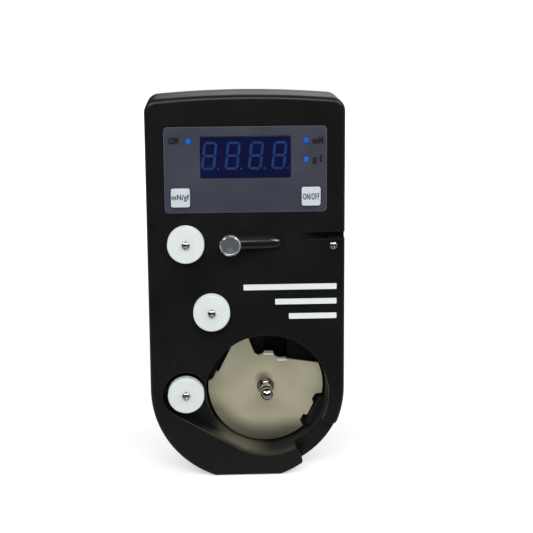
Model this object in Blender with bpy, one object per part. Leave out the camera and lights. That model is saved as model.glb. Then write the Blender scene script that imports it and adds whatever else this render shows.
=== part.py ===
"""Bobbin tension gauge: a hand-held digital gauge that stands on its flat base.

Metres, +Z up, +X to the right, the face looks towards -Y. The origin lies under the
middle of the whole gauge, on the surface that it stands on. Depths are counted from
the face plane backwards, so a negative depth stands in front of the face.
"""
import math

import bmesh
import bpy

MM = 0.001

# Gaps between pieces
FIT = 0.3 * MM           # between two pieces that seat on each other
LINE_FIT = 0.2 * MM      # round the panes that lie in the face
OVERRUN = 1.0 * MM       # how far a cutter runs past what it cuts

# Shells
ARC_SHARE = 0.94         # height of the half-round bottom's centre, of half the width
CROWN_RADIUS = 340.0 * MM
CORNER_RADIUS = 4.5 * MM
FACE_FILLET = 1.7 * MM
REAR_FILLET = 2.4 * MM
WALL = 2.2 * MM
REAR_WALL = 2.0 * MM
RIB_WALL = 1.8 * MM      # ribs and cup walls inside the covers

# Front panel, set in from the sides and the top of the face
PANEL_SIDE = 6.1 * MM
PANEL_TOP_MARGIN = 10.3 * MM
PANEL_HEIGHT = 28.6 * MM
PANEL_CORNER = 1.3 * MM
PANEL_THICKNESS = 0.45 * MM
PANEL_SINK = 0.05 * MM
PANEL_X = 0.0

# Display window and the four-digit module behind it
WINDOW_SIDE = 12.1 * MM           # from the panel's sides
WINDOW_HEIGHT = 13.6 * MM
WINDOW_THICKNESS = 0.5 * MM
WINDOW_DROP = 10.1 * MM            # its middle below the panel's top
MODULE_MARGIN = 0.3 * MM
MODULE_THICKNESS = 7.0 * MM

# Lamps and keys, placed from the panel's edges
LAMP_RADIUS = 0.95 * MM
LAMP_BODY_RADIUS = 1.4 * MM
LAMP_LEFT_INSET = 8.2 * MM
LAMP_RIGHT_INSET = 6.9 * MM
LAMP_DROP = 4.8 * MM
LAMP_PITCH = 6.3 * MM
KEY_WIDTH = 6.3 * MM
KEY_CORNER = 0.7 * MM
KEY_HEIGHT = 0.5 * MM
KEY_FLANGE = 0.8 * MM
KEY_FLANGE_THICKNESS = 0.8 * MM
KEY_TRAVEL = 0.35 * MM
KEY_INSET = 5.3 * MM
KEY_RISE = 5.2 * MM
SWITCH_WIDTH = 6.0 * MM
PLUNGER_RADIUS = 1.5 * MM
PLUNGER_SHARE = 0.45               # of the room between key and board

# Circuit board, straight behind the display module
BOARD_THICKNESS = 1.6 * MM
BOARD_SIDE_GAP = 0.8 * MM
BOARD_BELOW_PANEL = 3.3 * MM
BOARD_TOP_GAP = 0.4 * MM           # below the posts of the upper housing screws
BOARD_CORNER = 1.0 * MM
BOARD_SCREW_INSET = 2.4 * MM
BOARD_POST_RADIUS = 2.2 * MM
SMALL_SCREW_RADIUS = 0.9 * MM
SMALL_HEAD_RADIUS = 1.6 * MM
SMALL_HEAD_HEIGHT = 0.8 * MM
SMALL_SCREW_LENGTH = 5.0 * MM
CHIP_WIDTH = 9.0 * MM
CHIP_THICKNESS = 0.7 * MM
CHIP_SHARE = 0.45
COMPONENT_SPACE = 1.65 * MM

# Two cells lying behind the board, in a bay under the sliding door
BATTERY_DIAMETER = 10.5 * MM
BATTERY_LENGTH = 43.5 * MM
BUTTON_RADIUS = 1.9 * MM
BUTTON_LENGTH = 1.0 * MM
BATTERY_GAP = 0.9 * MM
SPRING_SPACE = 3.0 * MM
SPRING_WIRE = 0.35 * MM
SPRING_RADIUS = 2.6 * MM
SPRING_TURNS = 2
SPRING_POINTS = 12                 # to a turn
CONTACT_THICKNESS = 0.4 * MM
CONTACT_HEIGHT = 8.0 * MM
BAY_WALL = 1.4 * MM
BAY_RIM = 3.4 * MM
BAY_MARGIN = 2.9 * MM              # from the door's lower edge to the bay
DOOR_THICKNESS = 1.8 * MM
DOOR_TONGUE = 0.8 * MM
DOOR_TONGUE_THICKNESS = 0.7 * MM
DOOR_GRIP_COUNT = 3
DOOR_GRIP_PITCH = 2.2 * MM
DOOR_GRIP_WIDTH = 16.0 * MM
DOOR_GRIP_HEIGHT = 1.0 * MM
DOOR_GRIP_DEPTH = 0.45 * MM
SHELF_THICKNESS = 1.6 * MM

# Bobbin case cavity, in the room that the lower pulley leaves beside it
CAVITY_SIDE = 5.2 * MM
CAVITY_RIM = 7.5 * MM
PULLEY_GAP = 0.25 * MM               # from the lower pulley to the cavity
EDGE_CHAMFER = 0.35 * MM
CUT_OUT_DEPTH = 7.2 * MM           # at its lower end
CUT_OUT_RISE = 3.0 * MM            # of its floor, towards its upper end
CUT_OUT_START = -62.5              # degrees round the cavity, from +X
CUT_OUT_END = -26.0
CUT_OUT_MARGIN = 4.0               # degrees of solid wall beside the cut-out

# Plate that the bobbin case rests on; outlines as shares of the plate's radius
PLATE_GAP = 1.2 * MM
PLATE_DEPTH = 12.6 * MM
PLATE_THICKNESS = 1.0 * MM
FLOOR_GAP = 1.3 * MM               # from the plate's back to the cup's floor
LUG_HEIGHT = 1.3 * MM
LUG_WIDTH = 3.0 * MM
LUG_THICKNESS = 0.8 * MM
LUG_SHARES = ((0.055, 0.57), (0.285, 0.455))
TOP_CUT_SHARES = (
    (0.365, 0.47), (0.36, 0.495), (0.21, 0.495), (0.205, 0.515), (0.16, 0.515),
    (0.135, 0.615), (-0.025, 0.615), (-0.033, 0.58), (-0.12, 0.535), (-0.19, 0.58),
    (-0.29, 0.835),
)
RIGHT_CUT_SHARES = (
    (0.655, -0.76), (0.6, -0.65), (0.66, -0.54), (0.725, -0.565), (0.84, -0.33),
    (0.81, -0.2725), (0.875, -0.17),
)
LEFT_CUT_SHARES = ((-0.525, 0.835), (-0.815, 0.26), (-0.858, 0.268), (-0.92, 0.135))
RIM_ANGLES = ((-9.5, 22.8), (109.6, 121.0), (174.3, 310.4))
RIM_STEP = 6.0
RETAINER_SHARE = 0.925             # inner side of the two ribs beside the plate's cuts
RETAINER_THICKNESS = 3.0 * MM      # into the cup's wall
RETAINER_HEIGHT = 2.4 * MM         # over the plate
RETAINERS = ((-28.0, 11.0 * MM), (153.0, 9.0 * MM))
WELL_WIDTH = 8.0 * MM
WELL_HEIGHT = 7.0 * MM
WELL_DEPTH = 4.0 * MM
WELL_SHARES = (0.18, 0.665)

# Spindle in the middle of the plate
BALL_RADIUS = 2.2 * MM
BALL_RISE = 10.6 * MM              # its middle over the plate
NECK_RADIUS = 1.5 * MM
SHAFT_RADIUS = 2.02 * MM
COLLAR_RADIUS = 2.95 * MM
COLLAR_HEIGHT = 0.9 * MM
STUD_RADIUS = 1.3 * MM
STUD_PAST_NUT = 1.2 * MM
NUT_WIDTH = 5.5 * MM
NUT_THICKNESS = 2.0 * MM

# Thread pulleys, placed from the left side and upwards from the cavity
PULLEY_RADIUS = 6.15 * MM
PULLEY_WIDTH = 4.2 * MM
PULLEY_FLANGE = 1.0 * MM
GROOVE_DEPTH = 1.8 * MM
PULLEY_CHAMFER = 0.35 * MM
PULLEY_HEIGHT = 3.4 * MM           # front of the upper two over the face
LOWER_PULLEY_HEIGHT = 1.0 * MM
UPPER_INSET = 12.85 * MM
SENSING_INSET = 21.1 * MM
LOWER_INSET = 12.0 * MM
SENSING_RISE = 8.7 * MM            # over the cavity's top
UPPER_RISE = 23.3 * MM             # over the sensing pulley
UPPER_DROP = 10.2 * MM             # below the panel
LOWER_RISE = 0.7 * MM              # over the cavity's centre
PULLEY_CLEARANCE = 0.5 * MM
LOWER_POCKET_CLEARANCE = 1.75 * MM
LOWER_POCKET_DEPTH = 5.0 * MM
RAMP_ABOVE_PLATE = 2.3 * MM        # the thread channel's end over the plate
AXLE_RADIUS = 0.95 * MM
AXLE_HEAD_RADIUS = 1.4 * MM
AXLE_HEAD_HEIGHT = 0.8 * MM
AXLE_DEPTH = 8.6 * MM
SENSING_PLAY = 1.25 * MM           # round the sensing axle, where it passes the face
PULLEY_BOSS_RADIUS = 3.2 * MM
PULLEY_BOSS_END = 1.4 * MM
PULLEY_SEAT_RADIUS = 2.1 * MM

# Load cell behind the sensing pulley
CELL_WIDTH = 6.0 * MM
CELL_THICKNESS = 9.0 * MM
CELL_BELOW_BOARD = 1.8 * MM
CELL_TAIL = 4.6 * MM               # below the sensing axle
CELL_DEPTH = 5.4 * MM
CELL_EYE_RADIUS = 2.1 * MM
CELL_EYE_SHARES = (0.42, 0.6)      # along the beam, from its free end
CELL_SLIT = 1.4 * MM
CELL_SCREW_SHARES = (0.76, 0.92)
CELL_SCREW_RADIUS = 1.2 * MM
CELL_SCREW_HEAD = 2.1 * MM
CELL_SCREW_HEAD_HEIGHT = 1.4 * MM
CELL_PAD_SHARE = 0.33
CELL_PAD_GROWTH = 1.0 * MM

# Thread guide: an arm that rises from the face, with a turned cap on its end
CAP_HEIGHT = 8.0 * MM              # the cap's front over the face
CAP_RADIUS = 3.45 * MM
CAP_THICKNESS = 2.0 * MM
CAP_CHAMFER = 0.4 * MM
CAP_STEM_RADIUS = 1.0 * MM
CAP_STEM_LENGTH = 2.2 * MM
CAP_FROM_PULLEY = 14.65 * MM
CAP_DROP = 9.7 * MM                # below the panel
ARM_FROM_SLOT = 7.3 * MM           # its root, left of the cutter's slot
ARM_FALL = 1.2 * MM
ARM_ROOT_DEPTH = 0.2 * MM
ARM_TIP_RADIUS = 2.65 * MM
ARM_ROOT_RADIUS = 2.5 * MM
ARM_FOOT_RADIUS = 1.9 * MM
ARM_FOOT_DEPTH = 5.0 * MM
ARM_GIRTH_SHARES = (
    (-0.13, 0.35), (-0.11, 0.7), (-0.06, 0.92), (0.0, 1.0), (0.3, 1.0), (0.6, 1.0),
    (1.0, 1.0), (1.1, 0.85), (1.14, 0.5),
)

# Thread cutter at the right edge
SLOT_LENGTH = 15.5 * MM
SLOT_RAMP_LENGTH = 12.0 * MM
SLOT_DROP = 8.1 * MM               # below the panel
SLOT_HEIGHT = 2.2 * MM
SLOT_DEPTH = 4.4 * MM
BLADE_WIDTH = 5.0 * MM
BLADE_HEIGHT = 9.0 * MM
BLADE_THICKNESS = 0.5 * MM
BLADE_INSET = 4.0 * MM
BLADE_NOSE = 2.0 * MM
CUTTER_SCREW_DROP = 3.4 * MM       # below the slot
CUTTER_HEAD_RADIUS = 1.4 * MM
CUTTER_HEAD_HEIGHT = 0.8 * MM
CUTTER_SCREW_RADIUS = 0.8 * MM
CUTTER_SCREW_LENGTH = 6.0 * MM

# Screws that close the housing, from behind
SCREW_RADIUS = 1.1 * MM
SCREW_HEAD_RADIUS = 1.9 * MM
SCREW_HEAD_HEIGHT = 1.5 * MM
SCREW_SINK = 1.4 * MM
SCREW_LENGTH = 12.0 * MM
BOSS_RADIUS = 2.9 * MM
DOOR_SCREW_WALL = 0.6 * MM         # between the door's groove and a screw's well
TOP_SCREW_INSET = 4.4 * MM
TOP_SCREW_DROP = 5.2 * MM          # below the crown over it
LOW_SCREW_OUT = 1.85 * MM          # outside the cavity's wall
LOW_SCREW_ANGLE = -52.6            # degrees round the cavity

# Facets
ARC_STEPS = 26
CORNER_STEPS = 5
CROWN_STEPS = 10
FILLET_STEPS = 4
WIDE_SEGMENTS = 64
ROUND_SEGMENTS = 40
SMALL_SEGMENTS = 20
TINY_SEGMENTS = 14
DOME_ANGLES = (60, 30, 0)           # degrees from a screw head's rim upwards
BALL_ANGLES = (65, 40, 15, -10, -35)   # degrees round the spindle's ball, after its tip

# Worked out from these, depths first
BOARD_DEPTH = PANEL_SINK + WINDOW_THICKNESS + MODULE_THICKNESS + 2 * FIT
BOARD_BACK = BOARD_DEPTH + BOARD_THICKNESS
BAY_DEPTH = BOARD_BACK + COMPONENT_SPACE + BAY_WALL
RECESS_DEPTH = BAY_DEPTH + BATTERY_DIAMETER + 2 * FIT
BODY_DEPTH = RECESS_DEPTH + FIT + DOOR_THICKNESS
CAVITY_FLOOR = PLATE_DEPTH + PLATE_THICKNESS + FLOOR_GAP
PARTING_DEPTH = CAVITY_FLOOR + RIB_WALL + FIT
BALL_DEPTH = PLATE_DEPTH - BALL_RISE
RAMP_END_DEPTH = PLATE_DEPTH - RAMP_ABOVE_PLATE

# The width is what the cells, their door and the screws beside it take
BATTERY_PITCH = BATTERY_DIAMETER + BATTERY_GAP
BAY_WIDTH = BATTERY_LENGTH + BUTTON_LENGTH + SPRING_SPACE + CONTACT_THICKNESS + 3 * FIT
BAY_HEIGHT = BATTERY_PITCH + BATTERY_DIAMETER + 2 * FIT
DOOR_WIDTH = BAY_WIDTH + 2 * FIT
TOP_SCREW_X = DOOR_WIDTH / 2 + DOOR_TONGUE + DOOR_SCREW_WALL + SCREW_HEAD_RADIUS + 2 * FIT
HALF_WIDTH = TOP_SCREW_X + TOP_SCREW_INSET
BODY_WIDTH = 2 * HALF_WIDTH
ARC_HEIGHT = HALF_WIDTH * ARC_SHARE

# Upwards from the base: cavity, pulleys, panel
CAVITY_RADIUS = (BODY_WIDTH - LOWER_INSET - PULLEY_RADIUS - PULLEY_GAP - CAVITY_SIDE) / 2
CAVITY_X = HALF_WIDTH - CAVITY_SIDE - CAVITY_RADIUS
CAVITY_Z = CAVITY_RIM + CAVITY_RADIUS
PLATE_RADIUS = CAVITY_RADIUS - PLATE_GAP
WELL_X = CAVITY_X + PLATE_RADIUS * WELL_SHARES[0]
WELL_Z = CAVITY_Z + PLATE_RADIUS * WELL_SHARES[1]
LOWER_X = LOWER_INSET - HALF_WIDTH
LOWER_Z = CAVITY_Z + LOWER_RISE
LOWER_POCKET_RADIUS = PULLEY_RADIUS + LOWER_POCKET_CLEARANCE
SENSING_X = SENSING_INSET - HALF_WIDTH
SENSING_Z = CAVITY_Z + CAVITY_RADIUS + SENSING_RISE
UPPER_X = UPPER_INSET - HALF_WIDTH
UPPER_Z = SENSING_Z + UPPER_RISE
PANEL_BOTTOM = UPPER_Z + UPPER_DROP
PANEL_TOP = PANEL_BOTTOM + PANEL_HEIGHT
PANEL_Z = (PANEL_TOP + PANEL_BOTTOM) / 2
BODY_HEIGHT = PANEL_TOP + PANEL_TOP_MARGIN

# On and behind the panel
PANEL_WIDTH = BODY_WIDTH - 2 * PANEL_SIDE
WINDOW_WIDTH = PANEL_WIDTH - 2 * WINDOW_SIDE
WINDOW_X = PANEL_X
WINDOW_Z = PANEL_TOP - WINDOW_DROP
KEY_HOLE = KEY_WIDTH + 2 * LINE_FIT
LAMP_PLACES = (
    ("low_battery_lamp", LAMP_LEFT_INSET - PANEL_WIDTH / 2, PANEL_TOP - LAMP_DROP),
    ("millinewton_lamp", PANEL_WIDTH / 2 - LAMP_RIGHT_INSET, PANEL_TOP - LAMP_DROP),
    ("gram_force_lamp", PANEL_WIDTH / 2 - LAMP_RIGHT_INSET, PANEL_TOP - LAMP_DROP - LAMP_PITCH),
)
KEY_PLACES = (
    ("unit", KEY_INSET - PANEL_WIDTH / 2, PANEL_BOTTOM + KEY_RISE),
    ("power", PANEL_WIDTH / 2 - KEY_INSET, PANEL_BOTTOM + KEY_RISE),
)
CROWN_FALL = CROWN_RADIUS - math.sqrt(CROWN_RADIUS ** 2 - TOP_SCREW_X ** 2)
TOP_SCREW_Z = BODY_HEIGHT - CROWN_FALL - TOP_SCREW_DROP
BOARD_WIDTH = BODY_WIDTH - 2 * (WALL + BOARD_SIDE_GAP)
BOARD_BOTTOM = PANEL_BOTTOM - BOARD_BELOW_PANEL
BOARD_TOP = TOP_SCREW_Z - BOSS_RADIUS - BOARD_TOP_GAP
BAY_CENTRE_Z = (BOARD_BOTTOM + BOARD_TOP) / 2
DOOR_BOTTOM = BAY_CENTRE_Z - BAY_HEIGHT / 2 - BAY_MARGIN

# Below the panel
CELL_BOTTOM = SENSING_Z - CELL_TAIL
CELL_LENGTH = BOARD_BOTTOM - CELL_BELOW_BOARD - CELL_BOTTOM
SLOT_START_X = HALF_WIDTH - SLOT_LENGTH
SLOT_Z = PANEL_BOTTOM - SLOT_DROP
BLADE_X = HALF_WIDTH - BLADE_INSET
CUTTER_SCREW_Z = SLOT_Z - CUTTER_SCREW_DROP
CAP_X = UPPER_X + CAP_FROM_PULLEY
CAP_Z = PANEL_BOTTOM - CAP_DROP
ARM_ROOT_X = SLOT_START_X - ARM_FROM_SLOT
ARM_ROOT_Z = CAP_Z - ARM_FALL
LOW_SCREW_REACH = CAVITY_RADIUS + LOW_SCREW_OUT
LOW_SCREW_X = CAVITY_X + LOW_SCREW_REACH * math.cos(math.radians(LOW_SCREW_ANGLE))
LOW_SCREW_Z = CAVITY_Z + LOW_SCREW_REACH * math.sin(math.radians(LOW_SCREW_ANGLE))
SCREW_PLACES = (
    ("housing_screw_1", -TOP_SCREW_X, TOP_SCREW_Z),
    ("housing_screw_2", TOP_SCREW_X, TOP_SCREW_Z),
    ("housing_screw_3", -LOW_SCREW_X, LOW_SCREW_Z),
    ("housing_screw_4", LOW_SCREW_X, LOW_SCREW_Z),
)

# The gauge is centred front to back between its cap and its rear
FACE_Y = CAP_HEIGHT - (CAP_HEIGHT + BODY_DEPTH) / 2


def world_y(depth):
    """World Y of a depth behind the face."""
    return FACE_Y + depth


# Outlines, as lists of (x, z)

def arc_points(x, z, radius, start, end, steps):
    """Points on an arc, angles in radians, both ends included."""
    angles = [start + (end - start) * k / steps for k in range(steps + 1)]
    return [(x + radius * math.cos(a), z + radius * math.sin(a)) for a in angles]


def circle(x, z, radius, segments):
    """A full circle."""
    return arc_points(x, z, radius, 0, math.tau, segments)[:-1]


def rectangle(x, z, width, height):
    """A rectangle round its centre."""
    right, top = width / 2, height / 2
    return [(x - right, z - top), (x + right, z - top), (x + right, z + top), (x - right, z + top)]


def rounded_rectangle(x, z, width, height, radius):
    """A rectangle with round corners."""
    points = []
    right, top = width / 2 - radius, height / 2 - radius
    for quarter, (side, rise) in enumerate(((1, 1), (-1, 1), (-1, -1), (1, -1))):
        start = quarter * math.pi / 2
        points += arc_points(x + side * right, z + rise * top, radius, start,
                             start + math.pi / 2, CORNER_STEPS)
    return points


def housing_outline(inset):
    """The housing from the front, drawn in by an inset: half-round bottom cut by the flat
    base, straight sides, round corners and a crowned top."""
    bottom = HALF_WIDTH - inset
    base_angle = -math.asin((ARC_HEIGHT - inset) / bottom)
    crown_z = BODY_HEIGHT - CROWN_RADIUS
    corner_x = HALF_WIDTH - CORNER_RADIUS
    corner_z = crown_z + math.sqrt((CROWN_RADIUS - CORNER_RADIUS) ** 2 - corner_x ** 2)
    turn = math.atan2(corner_z - crown_z, corner_x)
    corner = max(CORNER_RADIUS - inset, OVERRUN * inset / CORNER_RADIUS)
    points = arc_points(0, ARC_HEIGHT, bottom, base_angle, 0, ARC_STEPS)
    points += arc_points(corner_x, corner_z, corner, 0, turn, CORNER_STEPS)
    crown = arc_points(0, crown_z, CROWN_RADIUS - inset, turn, math.pi - turn, CROWN_STEPS)
    points += crown[1:-1]
    points += arc_points(-corner_x, corner_z, corner, math.pi - turn, math.pi, CORNER_STEPS)
    points += arc_points(0, ARC_HEIGHT, bottom, math.pi, math.pi - base_angle, ARC_STEPS)
    return points


# Solids

def material(name, colour, roughness, metallic=0.0):
    """A Principled material, made once for each name."""
    found = bpy.data.materials.get(name)
    if found:
        return found
    made = bpy.data.materials.new(name)
    made.use_nodes = True
    shader = made.node_tree.nodes["Principled BSDF"]
    shader.inputs["Base Color"].default_value = (*colour, 1.0)
    shader.inputs["Roughness"].default_value = roughness
    shader.inputs["Metallic"].default_value = metallic
    made.diffuse_color = (*colour, 1.0)
    return made


def finish_mesh(name, maker):
    """An object from a bmesh, with its faces turned outwards."""
    bmesh.ops.recalc_face_normals(maker, faces=maker.faces)
    mesh = bpy.data.meshes.new(name)
    maker.to_mesh(mesh)
    maker.free()
    made = bpy.data.objects.new(name, mesh)
    bpy.context.scene.collection.objects.link(made)
    return made


def loft(name, rings):
    """A closed body through rings of equal length, each a list of (x, y, z)."""
    maker = bmesh.new()
    rows = [[maker.verts.new(point) for point in ring] for ring in rings]
    count = len(rows[0])
    for near, far in zip(rows, rows[1:]):
        for k in range(count):
            after = (k + 1) % count
            maker.faces.new((near[k], near[after], far[after], far[k]))
    maker.faces.new(rows[0])
    maker.faces.new(list(reversed(rows[-1])))
    return finish_mesh(name, maker)


def ring_at(points, depth):
    """An outline as a ring at one depth."""
    return [(x, world_y(depth), z) for x, z in points]


def prism(name, points, front, back):
    """An outline carried from one depth to another."""
    return loft(name, [ring_at(points, front), ring_at(points, back)])


def disc(name, x, z, radius, front, back, segments=SMALL_SEGMENTS):
    """A round prism."""
    return prism(name, circle(x, z, radius, segments), front, back)


def block(name, x, z, width, height, front, back):
    """A box between two depths."""
    return prism(name, rectangle(x, z, width, height), front, back)


def turned(name, x, z, profile, segments):
    """A body turned round Y at (x, z), from a profile of (radius, depth) whose ends may
    lie on the axis."""
    maker = bmesh.new()
    rows = []
    for radius, depth in profile:
        if radius == 0:
            rows.append([maker.verts.new((x, world_y(depth), z))])
        else:
            points = circle(x, z, radius, segments)
            rows.append([maker.verts.new(point) for point in ring_at(points, depth)])
    for near, far in zip(rows, rows[1:]):
        for k in range(segments):
            after = (k + 1) % segments
            corners = [near[k % len(near)], near[after % len(near)],
                       far[after % len(far)], far[k % len(far)]]
            maker.faces.new(list(dict.fromkeys(corners)))
    for row in (rows[0], rows[-1]):
        if len(row) > 1 and rows[0] is not rows[-1]:
            maker.faces.new(row)
    return finish_mesh(name, maker)


def ring_body(name, x, z, profile, segments):
    """A turned body with a bore: the profile is a closed loop of (radius, depth)."""
    maker = bmesh.new()
    rows = []
    for radius, depth in profile:
        points = ring_at(circle(x, z, radius, segments), depth)
        rows.append([maker.verts.new(point) for point in points])
    for near, far in zip(rows, rows[1:] + rows[:1]):
        for k in range(segments):
            after = (k + 1) % segments
            maker.faces.new((near[k], near[after], far[after], far[k]))
    return finish_mesh(name, maker)


def combine(target, tool, operation):
    """One Boolean step, applied, after which the tool is gone."""
    step = target.modifiers.new("step", "BOOLEAN")
    step.operation = operation
    step.solver = "EXACT"
    step.object = tool
    bpy.context.view_layer.update()
    view = bpy.context.evaluated_depsgraph_get()
    mesh = bpy.data.meshes.new_from_object(target.evaluated_get(view))
    target.modifiers.clear()
    target.data = mesh
    bpy.data.objects.remove(tool)


def add(target, *tools):
    """Joins solids to a solid."""
    for tool in tools:
        combine(target, tool, "UNION")


def cut(target, *tools):
    """Cuts solids out of a solid."""
    for tool in tools:
        combine(target, tool, "DIFFERENCE")


def keep_common(target, tool):
    """Keeps what two solids share."""
    combine(target, tool, "INTERSECT")


def dress(piece, finish, x=None, z=None, depth=0.0, smooth=30.0):
    """Gives a piece its finish, its shading and an origin on its own axis."""
    piece.data.materials.clear()
    piece.data.materials.append(finish)
    if x is not None:
        origin = (x, world_y(depth), z)
        for vertex in piece.data.vertices:
            vertex.co = [value - shift for value, shift in zip(vertex.co, origin)]
        piece.location = origin
    piece.data.shade_smooth()
    piece.data.set_sharp_from_angle(angle=math.radians(smooth))
    return piece


# Finishes
def finishes():
    """The materials of the gauge."""
    return {
        "shell": material("black_shell", (0.011, 0.011, 0.012), 0.38),
        "panel": material("grey_panel", (0.052, 0.056, 0.078), 0.42),
        "window": material("blue_window", (0.008, 0.01, 0.06), 0.2),
        "key": material("white_key", (0.62, 0.66, 0.69), 0.4),
        "lamp": material("blue_lamp", (0.02, 0.13, 0.62), 0.3),
        "pulley": material("white_pulley", (0.7, 0.74, 0.74), 0.42),
        "steel": material("bright_steel", (0.62, 0.6, 0.57), 0.22, 1.0),
        "plate": material("plate_steel", (0.45, 0.42, 0.33), 0.34, 1.0),
        "alloy": material("turned_alloy", (0.42, 0.45, 0.46), 0.3, 1.0),
        "board": material("green_board", (0.02, 0.11, 0.05), 0.5),
        "chip": material("black_chip", (0.015, 0.015, 0.016), 0.55),
        "module": material("module_case", (0.05, 0.05, 0.055), 0.5),
        "jacket": material("cell_jacket", (0.25, 0.27, 0.3), 0.35),
        "contact": material("nickel_contact", (0.6, 0.6, 0.58), 0.3, 1.0),
    }


# Housing forms

def fillet_rings(radius, start, turn):
    """Rings of a rounded edge: start is the depth of its flat side, turn is +1 at the face
    and -1 at the rear."""
    rings = []
    for k in range(FILLET_STEPS + 1):
        angle = math.pi / 2 * k / FILLET_STEPS
        inset = radius * (1 - math.sin(angle))
        depth = start + turn * radius * (1 - math.cos(angle))
        rings.append(ring_at(housing_outline(inset), depth))
    return rings


def front_form(name, back):
    """The outside of the housing from the face to a depth."""
    rings = fillet_rings(FACE_FILLET, 0, 1)
    rings.append(ring_at(housing_outline(0), back))
    return loft(name, rings)


def rear_form(name, front):
    """The outside of the housing from a depth to its rear."""
    rings = [ring_at(housing_outline(0), front)]
    rings += reversed(fillet_rings(REAR_FILLET, BODY_DEPTH, -1))
    return loft(name, rings)


def sector(radius, start, end):
    """A sector round the cavity's centre, angles in degrees."""
    points = arc_points(CAVITY_X, CAVITY_Z, radius, math.radians(start),
                        math.radians(end), CORNER_STEPS)
    return [(CAVITY_X, CAVITY_Z)] + points


def cut_out_floor(x, z):
    """Depth of the finger cut-out's floor, which slopes from its lower end to its upper."""
    middle = math.radians((CUT_OUT_START + CUT_OUT_END) / 2)
    aside = (z - CAVITY_Z) * math.cos(middle) - (x - CAVITY_X) * math.sin(middle)
    reach = (CAVITY_RADIUS + CAVITY_SIDE) * math.sin(math.radians(CUT_OUT_END - CUT_OUT_START) / 2)
    return CUT_OUT_DEPTH - CUT_OUT_RISE * (aside + reach) / (2 * reach)


def tangent_points():
    """Where the channel's lower wall touches the lower pulley's pocket and the cavity."""
    span_x, span_z = CAVITY_X - LOWER_X, CAVITY_Z - LOWER_Z
    span = math.hypot(span_x, span_z)
    lean = math.asin((CAVITY_RADIUS - LOWER_POCKET_RADIUS) / span)
    normal = math.atan2(span_z, span_x) - math.pi / 2 - lean
    side_x, side_z = math.cos(normal), math.sin(normal)
    start = (LOWER_X + LOWER_POCKET_RADIUS * side_x, LOWER_Z + LOWER_POCKET_RADIUS * side_z)
    end = (CAVITY_X + CAVITY_RADIUS * side_x, CAVITY_Z + CAVITY_RADIUS * side_z)
    return start, end


def channel_solid(name, growth, drop, front):
    """The thread channel from the lower pulley down to the cavity, with its sloping floor.
    growth moves its lower wall outwards, drop moves its floor backwards."""
    start, end = tangent_points()
    run_x, run_z = end[0] - start[0], end[1] - start[1]
    run = math.hypot(run_x, run_z)
    out_x, out_z = run_z / run * growth, -run_x / run * growth
    outline = [(LOWER_X, LOWER_Z), (start[0] + out_x, start[1] + out_z),
               (end[0] + out_x, end[1] + out_z), (CAVITY_X, CAVITY_Z)]

    def floor(x, z):
        along = ((x - start[0]) * run_x + (z - start[1]) * run_z) / run
        return LOWER_POCKET_DEPTH + (RAMP_END_DEPTH - LOWER_POCKET_DEPTH) * along / run + drop

    near = ring_at(outline, front)
    far = [(x, world_y(floor(x, z)), z) for x, z in outline]
    return loft(name, [near, far])


def retainer(angle, length):
    """One rib beside the plate's straight cut, standing on the cup's floor."""
    turn = math.radians(angle)
    out_x, out_z = math.cos(turn), math.sin(turn)
    corners = []
    inner = PLATE_RADIUS * RETAINER_SHARE
    outer = inner + RETAINER_THICKNESS
    for reach, side in ((inner, -1), (outer, -1), (outer, 1), (inner, 1)):
        along = side * length / 2
        corners.append((CAVITY_X + reach * out_x - along * out_z,
                        CAVITY_Z + reach * out_z + along * out_x))
    return prism("retainer", corners, PLATE_DEPTH - RETAINER_HEIGHT, CAVITY_FLOOR + OVERRUN)


def slot_ramp(name):
    """The cutter's slot with its floor sloping down to the blade."""
    low, high = SLOT_Z - SLOT_HEIGHT / 2, SLOT_Z + SLOT_HEIGHT / 2
    front = world_y(-OVERRUN)
    deep = world_y(SLOT_DEPTH)
    far_x = HALF_WIDTH + OVERRUN
    side = [(SLOT_START_X, front), (far_x, front), (far_x, deep), (SLOT_START_X + SLOT_RAMP_LENGTH, deep),
            (SLOT_START_X, world_y(0))]
    return loft(name, [[(x, y, low) for x, y in side], [(x, y, high) for x, y in side]])


def board_screw_places():
    """The four corners where the board is held."""
    reach = BOARD_WIDTH / 2 - BOARD_SCREW_INSET
    low, high = BOARD_BOTTOM + BOARD_SCREW_INSET, BOARD_TOP - BOARD_SCREW_INSET
    return [(side * reach, z) for z in (low, high) for side in (-1, 1)]


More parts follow.
